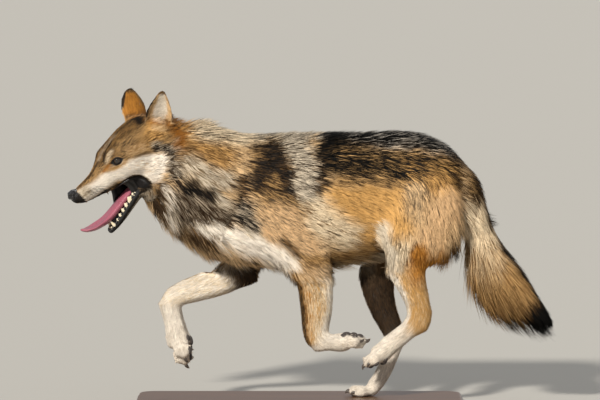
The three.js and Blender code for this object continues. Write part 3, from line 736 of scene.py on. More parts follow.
# On the head, in its own frame, with the distance from its middle as y.
UPPER_LIP_LINE = [(118, 12, -56), (98, 16, -64), (76, 20, -64), (48, 27, -60), (14, 38, -58)]
HEAD_MARKS = [
    ([(0, 0, 36), (-95, 0, 70)], 46, 14, "umber", "dark", 0.52),
    ([(-74, 62, 20), (-112, 70, 26)], 22, 14, "tan", "umber", 0.36),
    ([(-30, 48, 38), (-56, 54, 38)], 14, 12, "tan", "dark", 0.44),
    ([(-108, 62, 34), (-124, 50, 44)], 12, 10, "gold", "umber", 0.25),
    ([(28, 0, 18), (70, 0, -10), (112, 0, -22)], 11, 9, "tan", "dark", 0.40),
    ([(14, 40, -26), (70, 32, -40), (112, 24, -44)], 17, 9, "white", "grey", 0.14),
    ([(96, 28, -34), (118, 18, -40)], 13, 9, "silver", "greybrown", 0.45),
    ([(-14, 46, -28), (-55, 72, -34), (-92, 84, -46)], 25, 7, "white", "buff", 0.10),
    ([(-50, 74, -62), (-92, 82, -76)], 18, 8, "white", "buff", 0.12),
    (UPPER_LIP_LINE, 4.5, 3, "dark", "black", 0.85),
    ([(26, 35, -9), (8, 42, -12), (-10, 49, -11), (-24, 55, -5)], 5.0, 5, "tan", "umber", 0.50),
    ([(14, 38, 1), (36, 32, -8)], 2.6, 4, "orange", "rufous", 0.70),
    ([(26, 0, 18), (-2, 0, 42), (-40, 0, 58)], 6, 8, "grey", "brown", 0.45),
    ([(30, 0, 12), (64, 0, -4), (104, 0, -20)], 6, 5, "brown", "dark", 0.72),
    ([(-40, 0, 58), (-104, 0, 70)], 2.5, 5, "dark", "charcoal", 0.70),
    ([(-4, 36, 32), (8, 35, 22), (18, 34, 12)], 4.0, 5, "cream", "greybrown", 0.36),
    ([(-26, 9, 49), (8, 20, 33), (22, 26, 14)], 2.0, 3, "dark", "black", 0.90),
    ([(-19, 50, 3), (-50, 66, -2), (-86, 78, -9)], 2.0, 4, "dark", "charcoal", 0.72),
    ([(-18, 49, 2), (-33, 58, 0)], 3.0, 2, "dark", "black", 0.95),
    ([(5, 32, 1), (15, 32, -3)], 2.2, 2, "dark", "black", 0.90),
    ([(-44, 60, 12), (-70, 72, 8)], 9, 9, "buff", "umber", 0.50),
    ([(-116, 6, 67), (-108, 36, 63)], 9, 8, "charcoal", "black", 0.95),
    ([(-104, 82, 0), (-126, 96, -20), (-130, 108, -46)], 12, 8, "silver", "charcoal", 0.66),
    ([(-46, 54, -104), (-78, 76, -106)], 15, 9, "silver", "greybrown", 0.40),
    ([(-146, 40, 44), (-190, 50, 30)], 24, 14, "orange", "rufous", 0.60),
    ([(-104, 66, 26), (-128, 72, 22)], 10, 9, "gold", "brown", 0.45),
    ([(-126, 66, 42), (-142, 70, 30)], 9, 6, "buff", "tan", 0.30),
]
BODY_BASE = ("buff", "dark", 0.34)
HEAD_BASE = ("tan", "dark", 0.40)


class Marks:
    """The colours of light and dark hairs and the share of dark ones, at each point."""

    def __init__(self, count, base):
        light, dark, share = base
        self.light = np.tile(PALETTE[light], (count, 1))
        self.dark = np.tile(PALETTE[dark], (count, 1))
        self.share = np.full(count, share)

    def blend(self, other, weight):
        self.light = mix(self.light, other.light, weight)
        self.dark = mix(self.dark, other.dark, weight)
        self.share = mix(self.share, other.share, weight)

    def lay(self, weight, light, dark, share):
        self.blend(Marks(1, (light, dark, share)), weight)

    def lay_patches(self, points, patches):
        for line, reach, soft, *finish in patches:
            self.lay(near_line(points, line, reach + 1.25 * soft, reach - 0.75 * soft), *finish)


def side_shift(points, pair):
    """How far back the right leg's markings sit from where they are on the left, at each height."""
    left, right = (np.array(LEG_LINES[pair + side])[:4] for side in ("_left", "_right"))
    at_left = np.interp(-points[:, 2], -left[:, 2], left[:, 0])
    at_right = np.interp(-points[:, 2], -right[:, 2], right[:, 0])
    return at_left - at_right


def mark_legs_and_shade(body, points, normals, share, ragged):
    for leg, (upper, middle, paw) in LEGS.items():
        where = Along(points, leg_line(leg))
        front = (normals * in_front(where.direction)).sum(1) + ragged[:, 0] * 0.012
        outside = normals[:, 1] * LEG_SIDE[leg] + ragged[:, 1] * 0.012
        low = share(middle, paw)
        inner_side = rise(outside, 0.15, -0.35)
        if leg.startswith("fore"):
            body.lay(low, "cream", "gold", 0.48)
            body.lay(low * rise(front, -0.1, 0.4), "buff", "orange", 0.30)
            stripe = rise(front, 0.30, 0.65) * rise(outside, -0.5, 0.0)
            body.lay(share(middle) * stripe, "umber", "dark", 0.72)
            body.lay(low * rise(front, -0.2, -0.65), "white", "cream", 0.4)
            body.lay(low * inner_side, "white", "cream", 0.4)
            elbow = rise(where.place, 0.52, 0.40) * share(middle, upper)
            # Painted shade on the inner side by the elbow, where the body shades it.
            body.lay(elbow * inner_side, "dark", "charcoal", 0.3)
        else:
            body.lay(low * rise(where.place, 0.4, 0.5), "buff", "gold", 0.60)
            upper_shank = rise(front, 0.3, -0.3) * rise(where.place, 0.60, 0.48) * rise(outside, -0.2, 0.1)
            body.lay(low * upper_shank, "orange", "rufous", 0.30)
            body.lay(low * rise(front, 0.25, 0.7), "white", "cream", 0.25)
            # Painted shade on the inner side of the lower hind leg.
            body.lay(low * inner_side, "dark", "charcoal", 0.25)
            below_hock = share(middle) * rise(where.place, 0.74, 0.82)
            body.lay(below_hock * rise(front, 0.1, 0.4), "white", "cream", 0.2)
        body.lay(share(paw) * 0.92, "white", "grey", 0.12)
        # Painted shade on the inner side of the upper arm and the thigh.
        body.lay(share(upper) * inner_side, "dark", "charcoal", 0.25)


def mark_ears(face, points, normals, ragged):
    for ear, place in EARS.items():
        local = place.to(points)
        on_ear = rise(local[:, 0], 14, 34) * (np.abs(local[:, 1]) < 50) * (np.abs(local[:, 2] + 12) < 36)
        opening = normals @ place.axes[2]
        half = np.interp(local[:, 0] / EAR_LENGTH, [0, 0.4, 0.7, 0.9, 1], [36, 33, 23, 13, 6])
        edge = local[:, 1] * EAR_FRONT[ear] / half + ragged[:, 0] * 0.01
        face.lay(on_ear * rise(opening, 0.35, 0.05), "orange", "rufous", 0.30)
        face.lay(on_ear * rise(-edge, 0.8, 0.95) * rise(local[:, 0], 20, 60), "umber", "dark", 0.35)
        inside = rise(opening, 0.15, 0.45) * rise(local[:, 0], 12, 30) * (on_ear > 0)
        face.lay(inside, "buff", "tan", 0.4)
        face.lay(inside * rise(np.abs(edge + 0.12), 0.56, 0.36), "white", "silver", 0.5)
        face.lay(on_ear * rise(edge, EAR_RIM[ear], EAR_RIM[ear] + 0.08), "dark", "charcoal", 0.6)
        face.lay(on_ear * rise(opening, 0.1, -0.2) * rise(local[:, 0], 44, 22), "rufous", "dark", 0.6)
        face.lay(on_ear * rise(local[:, 0], 88, 97), "umber", "dark", 0.6)


def mark_mouth(face, points, at_head, share):
    gape = gape_distance(at_head)
    ahead = rise(at_head[:, 0], 150, 146) * rise(at_head[:, 0], -75, -62)
    below = (JAW.to(points)[:, 2] < 6) & (at_head[:, 0] > -30)
    upper_width = np.interp(at_head[:, 0], [-60, -35, -5, 25, 60, 110], [13, 12, 9, 4, 2.5, 2.5])
    width = np.where(below, 16.0, upper_width)
    face.lay(share("lower_jaw"), "grey", "charcoal", 0.42)
    of_mouth = share("head", "lower_jaw") * ahead
    by_nose = at_head[:, 0] - 114 - 0.35 * (at_head[:, 2] + 30)
    face.lay(share("head") * rise(by_nose, -1.5, 1.5) * rise(at_head[:, 2], -15, -20), "lip", "lip", 1)
    face.lay(of_mouth * rise(gape, width + 2, width - 2), "lip", "lip", 1)
    inside = in_mouth(at_head) * rise(at_head[:, 0], -10, 30) * rise(gape, 2, -4)
    face.lay(of_mouth * inside, "gum", "liver", 0.6)


def markings_and_shade(points, normals, shares):
    """The markings, with the painted shade among them, at points of the coat or the skin, given how much of
    each solid a point is.
    """
    def share(*names):
        return np.clip(shares[:, [PART[name] for name in names]].sum(1), 0, 1)

    ragged = np.stack([noise(points, 26, k) * 9 + noise(points, 9, k + 5) * 4.5 for k in range(3)], axis=1)
    side = points[:, [0, 2]] + ragged[:, [0, 2]]
    for pair in ("fore", "hind"):
        side[:, 0] += share(*LEGS[pair + "_right"][:2]) * side_shift(points, pair)
    body = Marks(len(points), BODY_BASE)
    body.lay_patches(side, BODY_MARKS_AND_SHADE)
    mark_legs_and_shade(body, points, normals, share, ragged)

    tail = Along(points, TAIL_LINE)
    above = -(normals * in_front(tail.direction)).sum(1) + ragged[:, 1] * 0.02
    place = tail.place + ragged[:, 0] * 0.005
    on_tail = share("tail")
    body.lay(on_tail, "cream", "brown", 0.27)
    body.lay(on_tail * rise(place, 0.20, 0.05), "tan", "dark", 0.5)
    body.lay(on_tail * rise(place, 0.30, 0.65), "tan", "brown", 0.42)
    body.lay(on_tail * rise(place, 0.35, 0.7) * rise(above, 0.0, -0.7), "tan", "brown", 0.60)
    body.lay(on_tail * rise(above, 0.7, 0.95), "brown", "black", 0.75)
    tip_place = place + ragged[:, 1] * 0.006
    body.lay(on_tail * rise(tip_place, 0.80, 0.88), "charcoal", "black", 0.92)

    at_head = HEAD.to(points)
    face = Marks(len(points), HEAD_BASE)
    face.lay_patches(folded(at_head) + ragged * 0.14, HEAD_MARKS)
    mark_ears(face, points, normals, ragged)
    for eye in EYES.values():
        local = eye.to(points)
        near_eye = (local[:, 0] > 0) & (np.linalg.norm(local, axis=1) < 40)
        face.lay(near_eye * rise(lens_gap(local), 3.6, 2.0), "lip", "lip", 1)
    mark_mouth(face, points, at_head, share)

    of_head = share("head") * rise(at_head[:, 0] + ragged[:, 1], -178, -132)
    body.blend(face, np.maximum(of_head, share("ear_left", "ear_right", "lower_jaw")))
    return body


# ---- Tufts ----

LONG = 18  # a tuft longer than this is bent, with a ring at its middle
BEND_PLACE, BEND_RISE = 0.48, 0.24  # the middle ring's place, and its rise for the coat's depth
SEEN_PLACE = 0.72  # the place on a tuft whose markings give its colours
NOSE_PAD_LINE = [(114, 0, -31), (134, 0, -33)]


def bare_places():
    """1 where no tuft grows: in the mouth, on the lips, in the eyes' openings and under the nose."""
    at_head = HEAD.to(outer.points)
    gape = gape_distance(at_head)
    lip_width = np.where((JAW.to(outer.points)[:, 2] < 6) & (at_head[:, 0] > -30), 8, 3.5)
    lips = on("head", "lower_jaw") & (gape < lip_width) & (at_head[:, 0] > -70)
    none = np.maximum(in_mouth(at_head) * on("head", "lower_jaw"), lips)
    none = np.maximum(none, near_line(at_head, NOSE_PAD_LINE, 17.5, 16.5))
    for eye in EYES.values():
        local = eye.to(outer.points)
        near = (local[:, 0] > 0) & (np.linalg.norm(local, axis=1) < 30)
        none = np.maximum(none, near * rise(lens_gap(local), 2.9, 2.2))
    return none


def grow_roots():
    """Points spread evenly over the skin, as triangles and shares of their corners."""
    a, b, c = (skin.points[skin.faces[:, k]] for k in range(3))
    area = np.linalg.norm(np.cross(b - a, c - a), axis=1) / 2
    spacing = coat[skin.faces, 3].mean(1)
    grows = 1 - bare_places()[skin.faces].mean(1)
    wanted = np.cumsum(area / spacing ** 2 * (grows > 0.5))
    ticks = np.arange(int(wanted[-1])) + rng.uniform(0, 1, int(wanted[-1]))
    triangle = np.minimum(np.searchsorted(wanted, ticks), len(wanted) - 1)
    u = np.sqrt(rng.uniform(0, 1, len(ticks)))
    v = rng.uniform(0, 1, len(ticks))
    return triangle, np.stack([1 - u, u * (1 - v), u * v], axis=1)


def at_roots(values):
    """Values of the mesh's points, at the roots."""
    corners = values[skin.faces[triangle]]
    if corners.ndim == 2:
        return (corners * shares).sum(1)
    return (corners * shares[..., None]).sum(1)


triangle, shares = grow_roots()
count = len(triangle)
root = at_roots(skin.points)
above_root = at_roots(outer.points)
normal = unit(at_roots(outer_normals))
flow = unit(at_roots(lie))
depth, length, width, _ = at_roots(coat).T
proud = at_roots(stand)
root_owner = part[skin.faces[triangle, shares.argmax(1)]]


def tree_of(points):
    tree = KDTree(len(points))
    for i, p in enumerate(points):
        tree.insert(Vector(p), i)
    tree.balance()
    return tree


# Each tuft belongs to a lock that is near it across the lie of the coat, and may be further along it,
# and its tip leans towards the lock's other tips.
LOCK_SIZE = 12  # how many tufts a lock has on average
LOCK_STRETCH = 3.2  # how many times longer than wide the reach of a lock is
LOCKS_TRIED = 9


def choose_locks():
    """Which lock each tuft belongs to."""
    seeds = root[rng.choice(count, lock_count, replace=False)]
    seed_tree = tree_of(seeds)
    nearby = np.array([[found[1] for found in seed_tree.find_n(Vector(p), LOCKS_TRIED)] for p in root])
    apart = seeds[nearby] - root[:, None]
    along_flow = (apart * flow[:, None]).sum(2)
    spans = (apart ** 2).sum(2) - (1 - 1 / LOCK_STRETCH ** 2) * along_flow ** 2
    return nearby[np.arange(count), spans.argmin(1)]


lock_count = count // LOCK_SIZE
lock = choose_locks()
lock_tone = rng.normal(0, 1, lock_count)[lock]
lock_chance = rng.uniform(0, 1, lock_count)[lock]
lock_lean = rng.normal(0, 0.12, lock_count)[lock]
lock_length = rng.uniform(0.85, 1.15, lock_count)[lock]
wander = lock_lean * np.clip(length / 40, 0.12, 1) + rng.normal(0, 0.08, count)
full = length * lock_length * rng.uniform(0.8, 1.15, count) * (1 + proud / 60)


def laid_tips():
    """The tips laid along the outer surface, and which of its points each one is over."""
    course = unit(flow + np.cross(normal, flow) * wander[:, None])
    run = np.sqrt(np.maximum(full ** 2 - depth ** 2, (0.5 * full) ** 2))
    aim = above_root + course * run[:, None]
    outer_tree = tree_of(outer.points)
    landing = np.array([outer_tree.find(Vector(p))[1] for p in aim])
    over = outer_normals[landing]
    lift = ((aim - outer.points[landing]) * over).sum(1)
    tip = aim - over * lift[:, None]
    stray = tip - outer.points[landing]
    limit = np.maximum(7, 0.32 * full) / np.maximum(np.linalg.norm(stray, axis=1), 1e-6)
    tip = outer.points[landing] + stray * np.minimum(1, limit)[:, None]
    lost = (np.linalg.norm(tip - aim, axis=1) > 0.5 * full + 6) | ((over * normal).sum(1) < -0.3)
    tip = np.where(lost[:, None], mix(root, aim, 0.55), tip)
    return tip, np.where(lost[:, None], normal, over), landing


def raised_tips(tip):
    """The tips let into the coat at random, and raised where tufts stand out."""
    tip = tip + tip_normal * (rng.uniform(-0.30, 0.06, count) * np.clip(depth, 0.5, 15))[:, None]
    chance = 0.8 * rng.uniform(0, 1, lock_count)[lock] + 0.2 * rng.uniform(0, 1, count)
    raised = 1.3 * proud * chance ** 1.5
    tip += tip_normal * (0.8 * raised)[:, None]
    tip[:, 2] -= 0.6 * raised * rise(-tip_normal[:, 2], -0.2, 0.5)
    return tip


def gathered_tips(tip):
    """The tips drawn towards the middle of their locks' tips, less so along the lie of the coat."""
    members = np.bincount(lock, minlength=lock_count)
    meeting = np.stack([np.bincount(lock, tip[:, k], lock_count) / members for k in range(3)], axis=1)
    gather = np.clip(length / 90, 0.06, 0.42) * rng.uniform(0.5, 1, count)
    pull = meeting[lock] - tip
    pull -= 0.6 * flow * (pull * flow).sum(1)[:, None]
    gather *= np.clip(20 / np.maximum(np.linalg.norm(pull, axis=1), 1), 0, 1)
    return tip + pull * gather[:, None]


tip, tip_normal, landing = laid_tips()
tip = gathered_tips(raised_tips(tip))
middle = mix(root, tip, BEND_PLACE) + normal * (BEND_RISE * depth)[:, None]


def tuft_colours():
    """Root, middle and tip colours of every tuft."""
    seen = mix(root, tip, SEEN_PLACE)
    marks = markings_and_shade(seen, outer_normals[landing], shares_of[landing])
    chance = 0.32 * lock_chance + 0.68 * rng.uniform(0, 1, count)
    streak = noise(seen * (0.35, 1, 1), 13, 3) * 0.13
    streak += noise(seen, 3.5, 11) * 0.16 * rise(length, 20, 12)
    is_dark = rise(chance + streak, marks.share + 0.14, marks.share - 0.14)
    hair = mix(marks.light, marks.dark, is_dark)
    tone = 1 + 0.07 * lock_tone + rng.normal(0, 0.05, count)
    hair = hair * np.clip(tone, 0.6, 1.35)[:, None]
    ticked = (rng.uniform(0, 1, count) < marks.share * 0.6) * rise(length, 9, 30)
    tips = mix(hair, marks.dark, ticked * 0.7)
    tips = mix(tips, marks.light * 1.08, (rng.uniform(0, 1, count) < 0.14) * rise(length, 20, 40) * 0.7)
    undercoat = mix(hair, PALETTE["greybrown"], 0.2) * 0.78
    return undercoat, hair, tips


colours = tuft_colours()


RIDGE = 0.84  # how high a tuft stands for half its width


def spikes(some, thick, bent):
    """Closed three-sided spikes for these tufts: points, colours and normals, a row for each tuft."""
    half = thick[:, None] * 0.5
    wide = unit(np.cross(normal[some], tip[some] - root[some])) * half
    high = normal[some] * half * RIDGE
    rings = [(root, 0.9, colours[0]), (middle, 1.0, colours[1])]
    if not bent:
        rings = [(root, 1.0, mix(colours[0], colours[1], 0.55))]
    corners = []
    for centre, grow, shade in rings:
        facing = normal[some] if centre is root else unit(normal[some] + tip_normal[some])
        for offset in (wide, -wide, high):
            leaning = unit(facing * 0.65 + unit(offset) * 0.35)
            corners.append((centre[some] + offset * grow, shade[some], leaning))
    corners.append((tip[some], colours[2][some], tip_normal[some]))
    return [np.stack(kind, axis=1) for kind in zip(*corners)]


def spike_faces(rings):
    """The triangles of one spike: its foot, the sides between its rings, and its tip."""
    last = 3 * (rings - 1)
    faces = [(0, 1, 2)]
    for k in range(last):
        after = (k + 1) % 3
        faces += [(k, after + 3, after), (k, k + 3, after + 3)]
    return np.array(faces + [(last + (k + 1) % 3, last + k, last + 3) for k in range(3)])


def tuft_mesh(name, chosen):
    """One piece of the coat: a closed spike for each chosen tuft."""
    is_long = full[chosen] > LONG
    thick = width[chosen] * rng.uniform(0.75, 1.25, len(chosen))
    lots = []
    total = 0
    for bent, patch in ((True, BAKE_LONG), (False, BAKE_SHORT)):
        some = chosen[is_long == bent]
        points, shades, normals = spikes(some, thick[is_long == bent], bent)
        corners = len(patch)
        starts = total + np.arange(len(some)) * corners
        faces = starts[:, None, None] + spike_faces(corners // 3)
        bake = bake_place[some][:, None] + BAKE_PATCH * patch
        lots.append([lot.reshape(-1, lot.shape[-1]) for lot in (points, faces, shades, normals, bake)])
        total += len(some) * corners
    points, faces, shades, normals, bake = (np.concatenate(kind) for kind in zip(*lots))
    made = new_object(name, points, faces)
    made.data.normals_split_custom_set_from_vertices(normals.tolist())
    paint_points(made, shades)
    bake_map(made, bake[faces.ravel()])
    return made


def paint_points(made, colours_of_points):
    layer = made.data.color_attributes.new("coat", "FLOAT_COLOR", "POINT")
    rgba = np.ones((len(colours_of_points), 4), np.float32)
    rgba[:, :3] = np.clip(colours_of_points, 0, 1)
    layer.data.foreach_set("color", rgba.ravel())


def bake_map(made, corners):
    layer = made.data.uv_layers.new(name="OFBake")
    layer.data.foreach_set("uv", np.clip(corners, 0, 1).astype(np.float32).ravel())


# Each piece unrolls round the line down its own middle: along the line, and round it. A tuft's patch
# lies there from its root towards its tip.
BAKE_PATCH = 0.003
BAKE_LONG = np.array([(0, 0), (0.1, 1), (0.2, 0.4), (0.5, 0), (0.6, 1), (0.7, 0.4), (1, 0.5)])
BAKE_SHORT = BAKE_LONG[[0, 1, 2, 6]]
SPINE = [(-420, -40, 650), (-270, 0, 574), (-150, 0, 529), (45, 0, 523), (320, 0, 550), (430, 0, 530)]
HEAD_LINE = [HEAD.out((140, 0, -40)), HEAD.out((0, 0, -15)), HEAD.out((-190, 0, -20))]
JAW_LINE = [JAW.out((200, 0, -10)), JAW.out((20, 0, -15))]
UNROLLED = {"head": HEAD_LINE, "lower_jaw": JAW_LINE, "neck": SPINE, "trunk": SPINE, "tail": TAIL_LINE}
UNROLLED.update({leg: leg_line(leg) for leg in LEGS})
MOST_TRIANGLES = 190000  # in one coat piece
LONG_COST, SHORT_COST = 10, 4  # the triangles of a bent tuft and of a straight one


def unrolled(points, group):
    """Place along a group's line and angle round it, both from 0 to 1."""
    if group in EARS:
        x, y, z = EARS[group].to(points).T
        return x / EAR_LENGTH, np.arctan2(y, z + 12) / (2 * np.pi) + 0.5
    where = Along(points, UNROLLED[group])
    out = points - where.foot
    ahead = in_front(where.direction)
    aside = np.cross(where.direction, ahead)
    angle = np.arctan2((out * aside).sum(1), (out * ahead).sum(1))
    return where.place, (angle / (2 * np.pi) + 0.75) % 1


def coat_pieces():
    """The coat in pieces, each a stretch of its group's line, with its tufts' places on the bake map."""
    made = []
    groups = {name: [name] for name in BODY} | LEGS
    for group, nodes in groups.items():
        chosen = np.nonzero(np.isin(root_owner, [PART[node] for node in nodes]))[0]
        place, turn = unrolled(root[chosen], group)
        order = np.argsort(place)
        chosen, place, turn = chosen[order], place[order], turn[order]
        cost = np.cumsum(np.where(full[chosen] > LONG, LONG_COST, SHORT_COST))
        lots = int(np.ceil(cost[-1] / MOST_TRIANGLES))
        for k in range(lots):
            mine = (cost > cost[-1] * k / lots) & (cost <= cost[-1] * (k + 1) / lots)
            start, stop = place[mine].min(), place[mine].max()
            along = (place[mine] - start) / (stop - start)
            bake_place[chosen[mine]] = np.stack([along, turn[mine]], axis=1) * (1 - BAKE_PATCH)
            name = f"coat_{group}" + (f"_{k + 1}" if lots > 1 else "")
            made.append(tuft_mesh(name, chosen[mine]))
    return made


bake_place = np.zeros((count, 2))
pieces = coat_pieces()


# ---- Shapes of the small pieces, as closed meshes of triangles ----

def outward(points, faces):
    """The mesh with its faces turned to face out."""
    points, faces = np.asarray(points, float), np.asarray(faces)
    a, b, c = (points[faces[:, k]] for k in range(3))
    return points, (faces if (a * np.cross(b, c)).sum() > 0 else faces[:, ::-1])


def lofted(rings, closed=False):
    """A skin through rings of points, closed at each end by a fan, or joined from last to first."""
    rings = np.asarray(rings, float)
    n, m, _ = rings.shape
    k = np.arange(m)
    after = (k + 1) % m
    faces = []
    for i in range(n if closed else n - 1):
        here, there = i * m, (i + 1) % n * m
        faces.append(np.stack([here + k, here + after, there + after], axis=1))
        faces.append(np.stack([here + k, there + after, there + k], axis=1))
    points = rings.reshape(-1, 3)
    if not closed:
        points = np.vstack([points, rings[0].mean(0), rings[-1].mean(0)])
        faces.append(np.stack([after, k, np.full(m, n * m)], axis=1))
        faces.append(np.stack([(n - 1) * m + k, (n - 1) * m + after, np.full(m, n * m + 1)], axis=1))
    return outward(points, np.concatenate(faces))


def merged(meshes):
    """Several meshes as one."""
    points, faces, count = [], [], 0
    for some_points, some_faces in meshes:
        points.append(some_points)
        faces.append(some_faces + count)
        count += len(some_points)
    return np.concatenate(points), np.concatenate(faces)


def curve(rows, count):
    """A smooth curve through rows of numbers."""
    rows = np.asarray(rows, float)
    t = np.linspace(0, len(rows) - 1, count)
    i = np.minimum(t.astype(int), len(rows) - 2)
    t = (t - i)[:, None]
    padded = np.vstack([2 * rows[0] - rows[1], rows, 2 * rows[-1] - rows[-2]])
    a, b, c, d = (padded[i + k] for k in range(4))
    return b + 0.5 * t * (c - a + t * (2 * a - 5 * b + 4 * c - d + t * (3 * b - a - 3 * c + d)))


def full_turn(sides):
    return np.linspace(0, 2 * np.pi, sides, endpoint=False)


def tube(path, radii, sides=10, up=(0, 0, 1), flat=1.0):
    """A tube of changing radius along a path; flat is how thick it is along up for its width."""
    path = np.asarray(path, float)
    along = unit(np.gradient(path, axis=0))
    wide = unit(np.cross(up, along))
    high = np.cross(along, wide)
    angle = full_turn(sides)
    radii = np.broadcast_to(radii, len(path))[:, None, None]
    ring = wide[:, None] * np.cos(angle)[None, :, None] + flat * high[:, None] * np.sin(angle)[None, :, None]
    return lofted(path[:, None] + radii * ring)


def ball_rings(tilt, sides):
    """Rings of points on a ball of radius 1 round the x axis, each at a tilt from it."""
    tilt = np.asarray(tilt)[:, None]
    turn = full_turn(sides)[None]
    ring = [np.cos(tilt) + 0 * turn, np.sin(tilt) * np.cos(turn), np.sin(tilt) * np.sin(turn)]
    return np.stack(ring, axis=2)


def ellipsoid(place, centre, halves, detail=14):
    """An ellipsoid in a frame."""
    points, faces = lofted(ball_rings(np.linspace(0.04, np.pi - 0.04, detail), 2 * detail) * halves + centre)
    return place.out(points), faces


# ---- Eyes and lids ----

CORNEA = 0.9  # how far the clear front stands out from the ball
CORNEA_TILT = 0.52
PUPIL, IRIS, LIMBUS, REAR = 3.1, 7.2, 8.2, 11  # from the middle of the front, along the ball
EYE_SIDES, LID_SIDES = 84, 96
# The iris and the white are darker than the eye's own amber and white: partly painted shade from the brow and
# the narrowed lids.
EYE_TINTS = {
    "pupil": (6, 5, 5), "iris": (64, 47, 27), "iris_dark": (28, 20, 13), "limbus": (13, 10, 9),
    "white": (24, 19, 17),
}


def eyeball(eye):
    """The ball with its clear front, and the colour at each of its points."""
    front, rest = np.linspace(0.02, 0.72, 42), np.linspace(0.78, np.pi - 0.03, 22)
    tilt = np.concatenate([front, rest])
    radius = EYE_RADIUS + CORNEA * np.exp(-(tilt / CORNEA_TILT) ** 2)
    points, faces = lofted(ball_rings(tilt, EYE_SIDES) * radius[:, None, None])
    from_middle = np.arccos(np.clip(unit(points)[:, 0], -1, 1)) * EYE_RADIUS
    spoke = np.arctan2(points[:, 2], points[:, 1])
    rays = np.stack([np.cos(spoke) * 3, np.sin(spoke) * 3, from_middle * 0.12], axis=1)
    fleck = 0.5 + 0.5 * noise(rays, 0.16, 9)
    tints = {name: linear(value) for name, value in EYE_TINTS.items()}
    dark_ring = np.maximum(rise(from_middle, IRIS - 1.8, IRIS), rise(from_middle, PUPIL + 0.9, PUPIL))
    share = np.clip(0.75 * dark_ring + 0.5 * fleck, 0, 1)
    paint = mix(tints["iris"], tints["iris_dark"], share[:, None])
    rings = [
        ("pupil", PUPIL + 0.25, PUPIL - 0.1), ("limbus", IRIS - 0.2, IRIS + 0.3),
        ("white", LIMBUS, LIMBUS + 1.4), ("limbus", REAR, REAR + 3),
    ]
    for tint, low, high in rings:
        paint = mix(paint, tints[tint], rise(from_middle, low, high))
    return eye.out(points), faces, paint


# Across the lid: how far out from the opening, and the distance from the eye's middle.
LID_PROFILE = [(-0.5, 11.2), (-0.6, 12.5), (-0.2, 13.1), (0.6, 13.6), (1.6, 13.75), (2.6, 13.6), (3.6, 13.5)]
UPPER_LID, LOWER_LID = 5.8, 5.2  # the opening's half heights
# The two rings that follow the skin, as how far out from the opening and from the skin.
LID_ENDS = ((4.3, -0.1), (5.8, -1.6))
SEARCH = 30  # how far from the eye's middle the skin is looked for
skin_shell = shell(skin.points, skin.faces)


def lid_ring(gap, radius):
    """A ring round the opening, this far out from its edge and from the eye's middle."""
    turn = full_turn(LID_SIDES)
    high = np.where(np.sin(turn) > 0, UPPER_LID, LOWER_LID) + gap
    pointed = 2 - 0.07 * max(gap, 0)
    y = (EYE_LENGTH / 2 - 0.2 + gap) * np.cos(turn)
    z = high * np.sign(np.sin(turn)) * np.abs(np.sin(turn)) ** pointed
    x = np.sqrt(np.maximum(radius ** 2 - y ** 2 - z ** 2, 4))
    return unit(np.stack([x, y, z], axis=1)) * np.reshape(radius, (-1, 1))


def skin_reach(eye, directions):
    """How far the skin is from the eye's middle in each direction."""
    far = []
    for way in directions:
        hit = skin_shell.ray_cast(Vector(eye.origin), Vector(eye.turned(way)), SEARCH)
        far.append(hit[3] if hit[0] is not None else LID + 1)
    return np.clip(far, LID - 0.6, LID + 6)


def lids(eye):
    """The bare rims of the lids, which end under the skin."""
    rings = [lid_ring(gap, radius) for gap, radius in LID_PROFILE]
    for gap, sink in LID_ENDS:
        ways = unit(lid_ring(gap, LID + 1))
        reach = skin_reach(eye, ways) + sink
        rings.append(ways * reach[:, None])
    rings.append(lid_ring(3.0, 10.6))
    points, faces = lofted(rings, closed=True)
    return eye.out(points), faces


# ---- Nose, lips, cheek folds, tongue and teeth ----

outer_shell = shell(outer.points, outer.faces)


def nose_pad():
    """The solid nose with nostrils, a groove below and a soft upper edge."""
    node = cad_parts["nose"].data
    points, faces = remeshed(points_of(node), triangles_of(node), 0.8)
    pad = Surface(points, faces)
    pad.points = pad.smooth(pad.points, 8, 0.5)
    at = HEAD.to(pad.points)
    normals = pad.normals()
    sunk_by = np.zeros(len(at))
    for side in (-1, 1):
        hole = Along(at, [(136, side * 5.5, -31), (132, side * 9, -30.5)]).distance
        slit = Along(at, [(131, side * 10, -31), (122, side * 15, -35)]).distance
        sunk_by += 5.0 * np.exp(-(hole / 2.7) ** 2) + 2.4 * np.exp(-(slit / 1.7) ** 2)
        wing = Along(at, [(131, side * 9.5, -25.5), (124, side * 14.5, -29)]).distance
        sunk_by -= 0.9 * np.exp(-(wing / 2.6) ** 2)
    groove = np.abs(at[:, 1]) + 4 * rise(at[:, 2], -33, -27)
    sunk_by += 1.3 * np.exp(-(groove / 1.0) ** 2) * rise(at[:, 0], 124, 129)
    pad.points = pad.points - normals * sunk_by[:, None]
    return pad.points, pad.faces


def cheek_at(a, c, sign):
    """How far to the side the head's surface is at a place seen from the side."""
    start = HEAD.out((a, sign * 130, c))
    hit = outer_shell.ray_cast(Vector(start), Vector(HEAD.turned((0, -sign, 0))), 129)
    return HEAD.to(np.array(hit[0]))[1] if hit[0] is not None else np.nan


def lip(places, radii, inset):
    """A roll of lip round the front of the mouth, through places seen from the side, rear to front."""
    halves = []
    for sign in (1, -1):
        path = []
        for a, c in places:
            b = cheek_at(a, c, sign)
            if np.isnan(b) or sign * b < 3.5:
                break
            path.append((a, b - sign * inset, c))
        halves.append(np.array(path))
    count = min(len(half) for half in halves)
    left, right = (half[:count] for half in halves)
    front = (left[-1] + right[-1]) / 2 + unit(left[-1] - left[-2] + right[-1] - right[-2]) * 2.5
    path = np.vstack([left, front[None], right[::-1]])
    for _ in range(3):
        path[1:-1] = path[1:-1] * 0.5 + (path[:-2] + path[2:]) * 0.25
    path = curve(path, 6 * len(path))
    share = 1 - np.abs(np.linspace(-1, 1, len(path)))
    ripple = 1 + 0.10 * np.sin(np.linspace(0, 190, len(path)))
    radius = np.interp(share, [0, 0.1, 1], [radii[0], radii[0], radii[1]]) * ripple
    return tube(HEAD.out(path), radius, 12)


